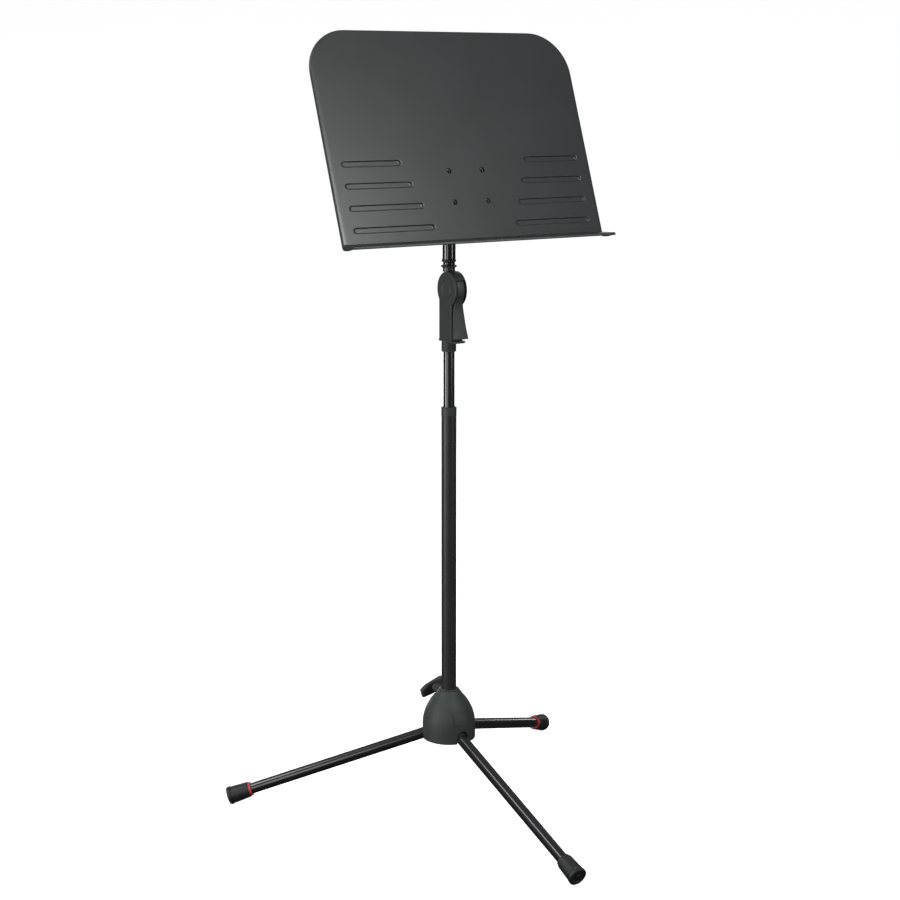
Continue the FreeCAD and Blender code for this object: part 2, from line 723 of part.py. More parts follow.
def brake_cone():
    """Cone on the rod's lower end, which spreads the shoes."""
    cone = Part.makeCone(CONE_SMALL_R, CONE_LARGE_R, CONE_LENGTH, V(0, 0, shoe_low_z))
    return cone.cut(rod(ROD_R, CONE_LENGTH + 2 * CUT, V(0, 0, shoe_low_z - CUT)))


def release_rod():
    """Long rod from the brake cone to the trigger, with a spring collar and a head."""
    low = shoe_low_z - CUT
    shaft = rod(ROD_R, rod_head_z + ROD_HEAD_WIDTH - low, V(0, 0, low))
    collar = rod(ROD_COLLAR_R, ROD_COLLAR_WIDTH, V(0, 0, rod_collar_z))
    head = rod(ROD_HEAD_R, ROD_HEAD_WIDTH, V(0, 0, rod_head_z))
    return shaft.fuse([collar, head]).removeSplitter()


def brake_spring():
    """Coil spring that pushes the rod's collar down."""
    spring = coil(BRAKE_SPRING_R, BRAKE_SPRING_WIRE_R, BRAKE_SPRING_TURNS,
                  BRAKE_SPRING_LENGTH - 2 * BRAKE_SPRING_WIRE_R)
    spring.translate(V(0, 0, spring_low_z + BRAKE_SPRING_WIRE_R))
    return spring


def spring_seat():
    """Bush in the inner tube above the spring."""
    return pipe(inner_bore_r, ROD_R + RUNNING_FIT, spring_top_z, spring_top_z + SPRING_SEAT_WIDTH)


# ---------------------------------------------------------------------------
# Clutch body
# ---------------------------------------------------------------------------

def clutch_base():
    """Ribbed sleeve round the inner tube and the plate under the grip."""
    sleeve = rod(CLUTCH_SLEEVE_R - CLUTCH_RIB, CLUTCH_SLEEVE, V(0, 0, clutch_low_z))
    ribs = []
    for index in range(CLUTCH_RIB_COUNT):
        rib = rod(CLUTCH_RIB, CLUTCH_SLEEVE - 2 * CUT,
                  V(CLUTCH_SLEEVE_R - CLUTCH_RIB, 0, clutch_low_z + CUT))
        rib.rotate(V(0, 0, 0), Z_AXIS, index * 360.0 / CLUTCH_RIB_COUNT)
        ribs.append(rib)
    corner = CLUTCH_HALF_WIDTH / 3
    plate_low = plate_top_z - PLATE_THICKNESS
    half = CLUTCH_HALF_WIDTH
    face = polygon_face([
        V(-half, CLUTCH_BACK, plate_low),
        V(half, CLUTCH_BACK, plate_low),
        V(half, corner - PLATE_REACH, plate_low),
        V(half - corner, -PLATE_REACH, plate_low),
        V(corner - half, -PLATE_REACH, plate_low),
        V(-half, corner - PLATE_REACH, plate_low),
    ])
    base = sleeve.fuse(ribs + [face.extrude(V(0, 0, PLATE_THICKNESS))])
    bore = rod(inner_r, CLUTCH_SLEEVE + PLATE_THICKNESS + 2 * CUT, V(0, 0, clutch_low_z - CUT))
    return base.cut(bore).removeSplitter()


def clutch_envelope():
    """Outer form of the grip: a round head on an upright body, with rounded sides."""
    half = CLUTCH_HALF_WIDTH
    body = side_prism([
        (CLUTCH_BACK - CUT, plate_top_z),
        (CLUTCH_BACK, plate_top_z + CUT),
        (CLUTCH_BACK, head_z),
        (-CLUTCH_FRONT, head_z),
        (-CLUTCH_FRONT, plate_top_z),
    ], half)
    sides = [
        edge for edge in body.Edges
        if edge.BoundBox.XLength < 1e-6 and edge.BoundBox.ZLength > 2 * CUT
    ]
    body = body.makeFillet(SHELL_ROUND, sides)
    head = across(HEAD_R, half, head_y, head_z)
    rims = [edge for edge in head.Edges if edge.BoundBox.XLength < 1e-6]
    head = head.makeFillet(SHELL_ROUND, rims)
    return body.fuse(head).removeSplitter()


screw_spots = (
    (-(inner_r + CLUTCH_FRONT) / 2, plate_top_z + CLUTCH_SCREW_LOW),
    (-(inner_r + CLUTCH_FRONT) / 2, plate_top_z + CLUTCH_SCREW_HIGH),
    (CLUTCH_BACK - REAR_SCREW_INSET, head_z + REAR_SCREW_RISE),
)
cheek_inner = CLUTCH_HALF_WIDTH - CHEEK_WALL


def clutch_hollow():
    """Everything that is cut from the grip: tube seat, stud seat, trigger room and pin bore."""
    seat = rod(inner_r, inner_top_z - plate_top_z + CUT, V(0, 0, plate_top_z - CUT))
    rod_room = rod(inner_bore_r, head_z - inner_top_z + CUT, V(0, 0, inner_top_z - CUT))
    front = head_front_y - CUT
    room_back = head_y + TRIGGER_ARM_REACH + 2 * CUT
    inner_corner = head_y - TRIGGER_ROOM_STEP
    floor = head_low_z + TRIGGER_ROOM_FLOOR
    ceiling = head_z + TRIGGER_TOP + 2 * FREE_GAP
    trigger_room = side_prism([
        (room_back, head_z - TRIGGER_ROOM_BACK_DROP),
        (room_back, stud_low_z - CUT),
        (head_y, stud_low_z - CUT),
        (inner_corner, ceiling),
        (front, ceiling),
        (front, floor),
        (head_y - TRIGGER_ROOM_DROP, floor),
        (inner_corner, head_z - TRIGGER_ROOM_DROP),
    ], cheek_inner)
    stud = clutch_stud()
    pin = across(TRIGGER_PIN_R, CLUTCH_HALF_WIDTH - CAP_SEAT - CUT / 2, head_y, head_z)
    return [seat, rod_room, trigger_room, stud, pin]


def clutch_shell(side):
    """One half of the grip, split on X = 0; screw heads sit on the +X side."""
    half = CLUTCH_HALF_WIDTH
    far = 2 * HEAD_R
    other_half = box(min(0, -side * far), max(0, -side * far), -far, far, 0, tilt_z)
    shell = clutch_envelope().cut(other_half)
    for hollow in clutch_hollow():
        shell = shell.cut(hollow)
    cap_start = V(side * (half - CAP_SEAT), head_y, head_z)
    shell = shell.cut(rod(CAP_R, CAP_SEAT + CUT, cap_start, X_AXIS * side))
    for y, z in screw_spots:
        hole = rod(CLUTCH_SCREW_R, 2 * half, V(CLUTCH_SCREW_HEAD - half, y, z), X_AXIS)
        shell = shell.cut(hole)
        if side > 0:
            head_start = V(half - CLUTCH_SCREW_HEAD, y, z)
            shell = shell.cut(rod(CLUTCH_SCREW_HEAD_R, half, head_start, X_AXIS))
    return shell


def clutch_screws():
    """Three screws that hold the halves together."""
    half = CLUTCH_HALF_WIDTH
    screws = []
    for y, z in screw_spots:
        start = V(CLUTCH_SCREW_HEAD - half, y, z)
        shank = rod(CLUTCH_SCREW_R, 2 * half - 2 * CLUTCH_SCREW_HEAD, start, X_AXIS)
        head_start = V(half - CLUTCH_SCREW_HEAD, y, z)
        head = rod(CLUTCH_SCREW_HEAD_R, CLUTCH_SCREW_HEAD, head_start, X_AXIS)
        recess = rod(CLUTCH_SCREW_R - FREE_GAP, CUT, V(half - CUT, y, z), X_AXIS)
        screws.append(shank.fuse(head).cut(recess))
    return Part.makeCompound(screws)


def clutch_cap(side):
    """Plain round cap over the end of the trigger pin."""
    start = V(side * (CLUTCH_HALF_WIDTH - CAP_SEAT), head_y, head_z)
    thickness = CAP_SEAT + CAP_PROUD
    cap = rod(CAP_R, thickness, start, X_AXIS * side)
    groove_start = V(side * CLUTCH_HALF_WIDTH, head_y, head_z)
    ring = rod(CAP_R - 2 * CUT, CUT, groove_start, X_AXIS * side)
    ring = ring.cut(rod(CAP_R - 3 * CUT, CUT, groove_start, X_AXIS * side))
    return cap.cut(ring)


def clutch_stud():
    """Threaded stud with the flange that the shells grip."""
    flange_z = stud_low_z + STUD_FLANGE_WIDTH
    collar_z = collar_low_z - CUT
    top_z = collar_low_z + STUD_COLLAR
    return turned([
        (0, stud_low_z),
        (STUD_BASE_R, stud_low_z),
        (STUD_BASE_R, flange_z),
        (STUD_FLANGE_R, flange_z),
        (STUD_FLANGE_R, flange_z + STUD_FLANGE_WIDTH),
        (STUD_BASE_R, flange_z + STUD_FLANGE_WIDTH),
        (STUD_BASE_R, collar_z),
        (STUD_COLLAR_R, collar_z),
        (STUD_COLLAR_R, top_z),
        (STUD_R, top_z),
        (STUD_R, top_z + STUD_THREAD - CUT),
        (STUD_R - CUT, top_z + STUD_THREAD),
        (0, top_z + STUD_THREAD),
    ])


def trigger_pin():
    """Steel pin through the head."""
    return across(TRIGGER_PIN_R, CLUTCH_HALF_WIDTH - CAP_SEAT - CUT / 2, head_y, head_z)


def trigger_lever():
    """Squeeze lever: curved cover between the cheeks, flared blade and the rod's lifting fork."""
    cover_half = cheek_inner - FREE_GAP
    cover = across(trigger_r, cover_half, head_y, head_z)
    cover = cover.cut(across(trigger_r - TRIGGER_PLATE, cover_half + CUT, head_y, head_z))
    low = head_low_z - TRIGGER_BLADE[1][0]
    window = box(-cover_half, cover_half, head_front_y, head_y, low, head_z + TRIGGER_TOP)
    cover = cover.common(window)
    soft = TRIGGER_CHAMFER
    sections = []
    for drop, half, ahead in TRIGGER_BLADE:
        front = head_front_y - ahead
        back = front + TRIGGER_BLADE_THICKNESS
        z = head_low_z - drop
        sections.append(Part.makePolygon([
            V(-half, back, z),
            V(-half, front + soft, z),
            V(-half + soft, front, z),
            V(half - soft, front, z),
            V(half, front + soft, z),
            V(half, back, z),
            V(-half, back, z),
        ]))
    blade = Part.makeLoft(sections, True, False)
    web_front = head_y - trigger_r + TRIGGER_PLATE / 2
    web = side_prism([
        (head_y, head_z - TRIGGER_WEB_HEIGHT),
        (web_front, head_z - TRIGGER_WEB_HEIGHT_FRONT),
        (web_front, head_z + TRIGGER_WEB_HEIGHT_FRONT),
        (head_y, head_z + TRIGGER_WEB_HEIGHT),
    ], TRIGGER_WEB_HALF)
    reach = head_y + TRIGGER_ARM_REACH
    arm_low_z = arm_top_z - TRIGGER_ARM
    arm = box(-TRIGGER_WEB_HALF, TRIGGER_WEB_HALF, head_y, reach, arm_low_z, arm_top_z)
    slot = box(-ROD_R - FREE_GAP, ROD_R + FREE_GAP, -ROD_R - 2 * FREE_GAP, reach + CUT,
               arm_low_z - CUT, arm_top_z + CUT)
    boss = across(TRIGGER_BOSS_R, TRIGGER_WEB_HALF, head_y, head_z)
    lever = cover.fuse([blade, web, arm.cut(slot), boss])
    bore = across(TRIGGER_PIN_R + RUNNING_FIT, HEAD_R, head_y, head_z)
    return lever.cut(bore).removeSplitter()


def trigger_spring():
    """Torsion spring round the pin, with one leg on the shell and one behind the cover."""
    width = cheek_inner - TRIGGER_WEB_HALF - 2 * FREE_GAP - 2 * TRIGGER_SPRING_WIRE_R
    spring = coil(TRIGGER_SPRING_R, TRIGGER_SPRING_WIRE_R, TRIGGER_SPRING_TURNS, width)
    spring.rotate(V(0, 0, 0), Y_AXIS, -90)
    start_x = -TRIGGER_WEB_HALF - FREE_GAP - TRIGGER_SPRING_WIRE_R
    spring.translate(V(start_x, head_y, head_z))
    return spring


# ---------------------------------------------------------------------------
# Lock ring and neck
# ---------------------------------------------------------------------------

def lock_ring():
    """Knurled double-flanged nut under the neck."""
    bore = STUD_R + RUNNING_FIT
    high_z = lock_low_z + LOCK_HEIGHT
    ring = turned([
        (bore, lock_low_z),
        (LOCK_LOW_R - CUT / 2, lock_low_z),
        (LOCK_LOW_R, lock_low_z + CUT / 2),
        (LOCK_LOW_R, lock_low_z + LOCK_FLANGE),
        (LOCK_GROOVE_R, lock_low_z + LOCK_FLANGE + CUT),
        (LOCK_GROOVE_R, high_z - LOCK_FLANGE - CUT),
        (LOCK_HIGH_R, high_z - LOCK_FLANGE),
        (LOCK_HIGH_R, high_z - CUT / 2),
        (LOCK_HIGH_R - CUT / 2, high_z),
        (bore, high_z),
    ])
    notches = []
    for index in range(LOCK_NOTCHES):
        for radius, low in ((LOCK_LOW_R, lock_low_z), (LOCK_HIGH_R, high_z - LOCK_FLANGE - CUT)):
            notch = rod(LOCK_NOTCH_R, LOCK_FLANGE + CUT, V(radius + LOCK_NOTCH_R / 3, 0, low))
            notch.rotate(V(0, 0, 0), Z_AXIS, index * 360.0 / LOCK_NOTCHES)
            notches.append(notch)
    return ring.cut(notches)


def neck_insert():
    """Threaded insert in the neck's lower end."""
    low = neck_low_z + NECK_INSERT_RISE
    return pipe(neck_bore_r, STUD_R + RUNNING_FIT, low, low + NECK_INSERT)


def neck_tube():
    """Short tube between the stud and the tilt joint, with a rounded lower rim."""
    return turned([
        (neck_bore_r, neck_low_z),
        (neck_r - NECK_RIM, neck_low_z),
        (neck_r, neck_low_z + NECK_RIM),
        (neck_r, neck_top_z),
        (neck_bore_r, neck_top_z),
    ])


def neck_head():
    """Tilt lug plugged into the neck tube."""
    plug = rod(neck_bore_r, NECK_PLUG + CUT, V(0, 0, neck_top_z - NECK_PLUG))
    shoulder = rod(neck_r, NECK_SHOULDER, V(0, 0, neck_top_z))
    half = TILT_HEAD_HALF
    stem = box(-half, half, -half, half, neck_top_z + NECK_SHOULDER, tilt_z)
    eye = across(TILT_HEAD_R, TILT_HEAD_HALF, 0, tilt_z)
    lug = plug.fuse([shoulder, stem, eye])
    return lug.cut(across(TILT_BOLT_R + RUNNING_FIT, 2 * neck_r, 0, tilt_z)).removeSplitter()


def friction_washers():
    """Two nylon washers between the lug and the bracket's ears."""
    washers = []
    for side in (-1, 1):
        start = V(side * TILT_HEAD_HALF, 0, tilt_z)
        disc = rod(FRICTION_WASHER_R, FRICTION_WASHER, start, X_AXIS * side)
        washers.append(disc.cut(across(TILT_BOLT_R + RUNNING_FIT, 2 * neck_r, 0, tilt_z)))
    return Part.makeCompound(washers)


# ---------------------------------------------------------------------------
# Desk, built upright about the tilt pivot with its face towards -Y
# ---------------------------------------------------------------------------

face_y = -PLATE_AHEAD
back_y = face_y + DESK_SHEET
fold_z = -PIVOT_ABOVE_FOLD
desk_top_z = fold_z + DESK_HEIGHT
ear_inner = TILT_HEAD_HALF + FRICTION_WASHER + FREE_GAP
ear_outer = ear_inner + EAR_THICKNESS
desk_hole_r = DESK_SCREW_R + 2 * RUNNING_FIT
ledge_dir = V(0, -math.sin(math.radians(LEDGE_ANGLE)), math.cos(math.radians(LEDGE_ANGLE)))
ledge_down = V(0, ledge_dir.z, -ledge_dir.y) * -1


def desk_outline(inset, y):
    """Desk blank: square at the fold, rounded at the top."""
    half = DESK_WIDTH / 2 - inset
    top = desk_top_z - inset
    radius = DESK_CORNER_R - inset
    corner = radius * math.sqrt(0.5)
    left = V(-half, y, top - radius)
    left_top = V(-half + radius, y, top)
    right_top = V(half - radius, y, top)
    right = V(half, y, top - radius)
    left_via = V(-half + radius - corner, y, top - radius + corner)
    right_via = V(half - radius + corner, y, top - radius + corner)
    edges = [
        Part.makeLine(V(-half, y, fold_z), left),
        Part.Arc(left, left_via, left_top).toShape(),
        Part.makeLine(left_top, right_top),
        Part.Arc(right_top, right_via, right).toShape(),
        Part.makeLine(right, V(half, y, fold_z)),
        Part.makeLine(V(half, y, fold_z), V(-half, y, fold_z)),
    ]
    return Part.Face(Part.Wire(edges))


def slot_wire(x_low, x_high, z, half, y):
    """Round-ended slot outline in the desk's plane."""
    a = V(x_low + half, y, z + half)
    b = V(x_high - half, y, z + half)
    c = V(x_high - half, y, z - half)
    d = V(x_low + half, y, z - half)
    return Part.Wire([
        Part.makeLine(a, b),
        Part.Arc(b, V(x_high, y, z), c).toShape(),
        Part.makeLine(c, d),
        Part.Arc(d, V(x_low, y, z), a).toShape(),
    ])


def rib(x_low, x_high, z, grow, y_front, y_back):
    """Tapered stamping between two depths; grow widens it all round."""
    wide = slot_wire(x_low - grow, x_high + grow, z, RIB_HALF_WIDTH + grow, y_front)
    draft = RIB_DRAFT
    narrow = slot_wire(x_low - grow + draft, x_high + grow - draft, z,
                       RIB_HALF_WIDTH + grow - draft, y_back)
    return Part.makeLoft([wide, narrow], True, True)


def rib_spans():
    """Ends and height of each stamped rib."""
    spans = []
    for index in range(RIB_COUNT):
        z = fold_z + RIB_LOW + index * RIB_PITCH
        inner = RIB_INNER_LOW + index * RIB_INNER_STEP
        spans.append((-RIB_OUTER, -inner, z))
        spans.append((inner, RIB_OUTER, z))
    return spans


def screw_points():
    """Desk screws in the desk's plane."""
    return [
        (side * SCREW_HALF_SPACING, fold_z + height)
        for height in (SCREW_LOW, SCREW_HIGH)
        for side in (-1, 1)
    ]


def desk_pan():
    """Sheet desk: ribbed face, turned-back rim, ledge with a down-turned hem and end flanges."""
    tray = desk_outline(0, face_y).extrude(V(0, DESK_FLANGE, 0))
    rim = [
        edge for edge in tray.Edges
        if abs(edge.BoundBox.YMax - face_y) < 1e-6 and edge.BoundBox.ZMax > fold_z + 1e-6
    ]
    tray = tray.makeFillet(DESK_ROUND, rim)
    hollow = desk_outline(DESK_SHEET, back_y).extrude(V(0, DESK_FLANGE, 0))
    below = box(-DESK_WIDTH / 2 + DESK_SHEET, DESK_WIDTH / 2 - DESK_SHEET,
                back_y, face_y + DESK_FLANGE + CUT, fold_z - CUT, fold_z + 2 * DESK_SHEET)
    pan = tray.cut([hollow, below])
    for x_low, x_high, z in rib_spans():
        pan = pan.fuse(rib(x_low, x_high, z, DESK_SHEET / 2, back_y, back_y + RIB_DEPTH))
    for x_low, x_high, z in rib_spans():
        pan = pan.cut(rib(x_low, x_high, z, 0, face_y, face_y + RIB_DEPTH))
    fold = V(0, face_y, fold_z)
    tip = fold + ledge_dir * LEDGE_DEPTH
    under = ledge_down * DESK_SHEET
    hem = ledge_down * LEDGE_HEM
    behind = V(0, back_y, fold_z)
    sheet = [
        behind,
        fold,
        tip,
        tip + hem,
        tip + hem - ledge_dir * DESK_SHEET,
        tip + under - ledge_dir * DESK_SHEET,
        behind + under,
    ]
    ledge = side_prism([(p.y, p.z) for p in sheet], DESK_WIDTH / 2)
    pan = pan.fuse(ledge)
    drop = ledge_down * LEDGE_END_DROP
    end = [
        V(0, face_y + DESK_FLANGE, fold_z + DESK_FLANGE),
        V(0, face_y + DESK_SHEET, fold_z + DESK_FLANGE),
        fold,
        tip,
        tip + hem,
        fold + ledge_dir * LEDGE_END_FORWARD + drop,
        fold + ledge_dir * LEDGE_END_HEEL + ledge_down * LEDGE_END_HEEL_DROP,
        V(0, face_y + DESK_FLANGE, fold_z - DESK_ROUND),
    ]
    half = DESK_WIDTH / 2
    for x in (-half, half - DESK_SHEET):
        flange = polygon_face([V(x, p.y, p.z) for p in end]).extrude(V(DESK_SHEET, 0, 0))
        pan = pan.fuse(flange)
    for x, z in screw_points():
        start = V(x, face_y - DESK_SHEET, z)
        pan = pan.cut(rod(desk_hole_r, 4 * DESK_SHEET, start, Y_AXIS))
    return in_desk_frame(pan.removeSplitter())


def tilt_bracket():
    """Folded steel bracket: a plate on the desk's back and two ears to the pivot."""
    plate_y = back_y + EAR_THICKNESS
    low = fold_z + SCREW_LOW - BRACKET_MARGIN
    high = fold_z + SCREW_HIGH + BRACKET_MARGIN
    bracket = box(-BRACKET_HALF_WIDTH, BRACKET_HALF_WIDTH, back_y, plate_y, low, high)
    for side in (-1, 1):
        x_low = min(side * ear_inner, side * ear_outer)
        web = polygon_face([
            V(x_low, plate_y - CUT, -EAR_ROOT_HALF),
            V(x_low, plate_y - CUT, EAR_ROOT_HALF),
            V(x_low, 0, EAR_R),
            V(x_low, 0, -EAR_R),
        ]).extrude(V(EAR_THICKNESS, 0, 0))
        eye = rod(EAR_R, EAR_THICKNESS, V(x_low, 0, 0), X_AXIS)
        bracket = bracket.fuse([web, eye])
    bracket = bracket.cut(across(TILT_BOLT_R + RUNNING_FIT, 2 * ear_outer, 0, 0))
    for x, z in screw_points():
        bracket = bracket.cut(rod(desk_hole_r, PLATE_AHEAD / 2, V(x, face_y, z), Y_AXIS))
    return in_desk_frame(bracket.removeSplitter())


def desk_screws():
    """Four domed socket screws through the desk."""
    screws = []
    reach = DESK_SHEET + EAR_THICKNESS + DESK_NUT + DESK_SCREW_TAIL
    for x, z in screw_points():
        shank = rod(DESK_SCREW_R, reach, V(x, face_y, z), Y_AXIS)
        dome_r = (DESK_SCREW_HEAD_R ** 2 + DESK_SCREW_HEAD ** 2) / (2 * DESK_SCREW_HEAD)
        dome = Part.makeSphere(dome_r, V(x, face_y - DESK_SCREW_HEAD + dome_r, z))
        head_y_low = face_y - DESK_SCREW_HEAD
        cap = box(x - dome_r, x + dome_r, head_y_low, face_y, z - dome_r, z + dome_r)
        socket = rod(DESK_SCREW_SOCKET_R, DESK_SCREW_HEAD, V(x, head_y_low - CUT, z), Y_AXIS)
        screws.append(shank.fuse(dome.common(cap)).cut(socket))
    return in_desk_frame(Part.makeCompound(screws))


def desk_nuts():
    """Four nuts behind the bracket."""
    nuts = []
    for x, z in screw_points():
        start = V(x, back_y + EAR_THICKNESS, z)
        nut = hexagon(DESK_NUT_FLATS, DESK_NUT, start, Y_AXIS)
        nuts.append(nut.cut(rod(DESK_SCREW_R, PLATE_AHEAD / 2, V(x, face_y, z), Y_AXIS)))
    return in_desk_frame(Part.makeCompound(nuts))


def tilt_nut():
    """Nut on the far ear."""
    start = V(-ear_outer, 0, 0)
    nut = hexagon(TILT_NUT_FLATS, TILT_NUT, start, X_AXIS * -1)
    return in_desk_frame(nut.cut(across(TILT_BOLT_R + RUNNING_FIT, 4 * ear_outer, 0, 0)))


def tilt_washer():
    """Washer under the tilt knob."""
    disc = rod(TILT_WASHER_R, TILT_WASHER, V(ear_outer, 0, 0), X_AXIS)
    return in_desk_frame(disc.cut(across(TILT_BOLT_R + RUNNING_FIT, 4 * ear_outer, 0, 0)))


knob_start = ear_outer + TILT_WASHER + FREE_GAP
bolt_low = -ear_outer - TILT_NUT - CUT
bolt_high = knob_start + TILT_BOLT_DEPTH


def tilt_bolt():
    """Bolt through the lug and both ears."""
    bolt = rod(TILT_BOLT_R, bolt_high - bolt_low, V(bolt_low, 0, 0), X_AXIS)
    return in_desk_frame(bolt)


def tilt_knob():
    """Lobed hand knob moulded on the bolt."""
    knob = rod(TILT_KNOB_CORE_R, TILT_KNOB_THICKNESS, V(knob_start, 0, 0), X_AXIS)
    lobes = []
    reach = TILT_KNOB_R - TILT_KNOB_LOBE_R
    for index in range(TILT_KNOB_LOBES):
        angle = math.radians(index * 360.0 / TILT_KNOB_LOBES)
        centre = V(knob_start, reach * math.cos(angle), reach * math.sin(angle))
        lobes.append(rod(TILT_KNOB_LOBE_R, TILT_KNOB_THICKNESS, centre, X_AXIS))
    knob = knob.fuse(lobes).removeSplitter()
    bolt = rod(TILT_BOLT_R, bolt_high - bolt_low, V(bolt_low, 0, 0), X_AXIS)
    return in_desk_frame(knob.cut(bolt))


# ---------------------------------------------------------------------------
# Write every sub-part
# ---------------------------------------------------------------------------

def write_all():
    os.makedirs("parts", exist_ok=True)
    single = {
        "hub_shell": hub_shell,
        "hub_liner": hub_liner,
        "leg_pivot_pins": leg_pivot_pins,
        "clamp_insert": clamp_insert,
        "clamp_pad": clamp_pad,
        "clamp_screw": clamp_screw,
        "wing_knob": wing_knob,
        "mast_tube": mast_tube,
        "mast_foot": mast_foot,
        "mast_collar": mast_collar,
        "guide_ring": guide_ring,
        "stop_ring": stop_ring,
        "inner_tube": inner_tube,
        "brake_body": brake_body,
        "brake_shoes": brake_shoes,
        "brake_cone": brake_cone,
        "release_rod": release_rod,
        "brake_spring": brake_spring,
        "spring_seat": spring_seat,
        "clutch_base": clutch_base,
        "clutch_screws": clutch_screws,
        "clutch_stud": clutch_stud,
        "trigger_pin": trigger_pin,
        "trigger_lever": trigger_lever,
        "trigger_spring": trigger_spring,
        "lock_ring": lock_ring,
        "neck_insert": neck_insert,
        "neck_tube": neck_tube,
        "neck_head": neck_head,
        "friction_washers": friction_washers,
        "desk_pan": desk_pan,
        "tilt_bracket": tilt_bracket,
        "desk_screws": desk_screws,
        "desk_nuts": desk_nuts,
        "tilt_nut": tilt_nut,
        "tilt_washer": tilt_washer,
        "tilt_bolt": tilt_bolt,
        "tilt_knob": tilt_knob,
    }
    for name, build in single.items():
        save(name, build())
    for name, side in (("left", -1), ("right", 1)):
        save("clutch_shell_" + name, clutch_shell(side))
        save("clutch_cap_" + name, clutch_cap(side))
    for index, name in enumerate(("front", "right", "left")):
        save("leg_root_" + name, place_leg(leg_root(), index))
        save("leg_tube_" + name, place_leg(leg_tube(), index))
        save("leg_ring_" + name, place_leg(leg_ring(), index))
        save("leg_boot_" + name, grounded(place_leg(leg_boot(), index)))


write_all()
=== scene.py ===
import json
import math

import bmesh
import bpy
from mathutils import Matrix, Vector


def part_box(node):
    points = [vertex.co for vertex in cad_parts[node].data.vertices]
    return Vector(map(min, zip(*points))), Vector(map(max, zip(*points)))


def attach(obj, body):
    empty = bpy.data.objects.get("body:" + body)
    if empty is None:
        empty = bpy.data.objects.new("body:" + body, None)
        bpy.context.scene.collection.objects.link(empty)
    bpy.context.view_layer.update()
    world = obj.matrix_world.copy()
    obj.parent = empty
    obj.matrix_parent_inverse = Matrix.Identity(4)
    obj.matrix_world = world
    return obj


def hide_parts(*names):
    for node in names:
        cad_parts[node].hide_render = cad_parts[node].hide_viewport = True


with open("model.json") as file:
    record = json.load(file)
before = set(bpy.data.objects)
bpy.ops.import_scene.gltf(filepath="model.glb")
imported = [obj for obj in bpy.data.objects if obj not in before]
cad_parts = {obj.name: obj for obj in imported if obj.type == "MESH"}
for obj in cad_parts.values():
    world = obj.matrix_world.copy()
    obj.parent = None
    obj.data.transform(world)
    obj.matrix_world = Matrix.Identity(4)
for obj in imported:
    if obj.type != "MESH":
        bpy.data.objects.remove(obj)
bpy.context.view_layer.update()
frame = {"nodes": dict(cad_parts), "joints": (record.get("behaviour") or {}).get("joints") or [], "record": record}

# Tripod music stand.  Metres, +Z up, mast axis on X = Y = 0, floor at Z = 0.
# Lengths are written in millimetres and turned into metres by MM, except for the lights
# and the camera, which are in metres.

MM = 0.001
TAU = 2 * math.pi
QUARTER = math.pi / 2
TINY = 1e-9
X_AXIS = Vector((1, 0, 0))
Y_AXIS = Vector((0, 1, 0))
Z_AXIS = Vector((0, 0, 1))

JOINTS = {joint["name"]: joint for joint in frame["joints"]}
NODE_BODY = {
    node: body
    for body, nodes in frame["record"]["behaviour"]["bodies"].items()
    for node in nodes
}


# ---------------------------------------------------------------------------
# Mesh helpers
# ---------------------------------------------------------------------------

def mesh_object(name, points, faces, outward=True):
    """New smooth mesh object from points in metres.

    outward: makes the faces point one way, outwards where the surface is closed."""
    mesh = bpy.data.meshes.new(name)
    mesh.from_pydata([tuple(p) for p in points], [], faces)
    mesh.validate()
    if outward:
        shape = bmesh.new()
        shape.from_mesh(mesh)
        bmesh.ops.recalc_face_normals(shape, faces=shape.faces)
        shape.to_mesh(mesh)
        shape.free()
    for polygon in mesh.polygons:
        polygon.use_smooth = True
    obj = bpy.data.objects.new(name, mesh)
    bpy.context.scene.collection.objects.link(obj)
    return obj


ARC_SHARE = 0.49          # the most of a side's length that one arc may take


def rounded(corners, steps):
    """Closed outline through (a, b, radius) corners, each turned into an arc of its radius."""
    outline = []
    count = len(corners)
    for index, (a, b, radius) in enumerate(corners):
        here = Vector((a, b))
        before = Vector(corners[index - 1][:2]) - here
        after = Vector(corners[(index + 1) % count][:2]) - here
        angle = before.angle(after)
        reach = radius / math.tan(angle / 2)
        reach = min(reach, before.length * ARC_SHARE, after.length * ARC_SHARE)
        radius = reach * math.tan(angle / 2)
        centre = here + (before.normalized() + after.normalized()).normalized() * (
            radius / math.sin(angle / 2)
        )
        start = here + before.normalized() * reach - centre
        finish = here + after.normalized() * reach - centre
        sweep = math.atan2(start.x * finish.y - start.y * finish.x, start.dot(finish))
        for step in range(steps + 1):
            turn = Matrix.Rotation(sweep * step / steps, 2)
            outline.append(centre + turn @ start)
    return outline


def basis(origin, axis, side=None):
    """Matrix whose local Z is the axis and whose local X is nearest to side, or to X or Y."""
    z = Vector(axis).normalized()
    if side is None:
        side = X_AXIS if abs(z.x) < 0.9 else Y_AXIS
    x = (side - z * side.dot(z)).normalized()
    y = z.cross(x)
    matrix = Matrix((x, y, z)).transposed().to_4x4()
    matrix.translation = Vector(origin)
    return matrix


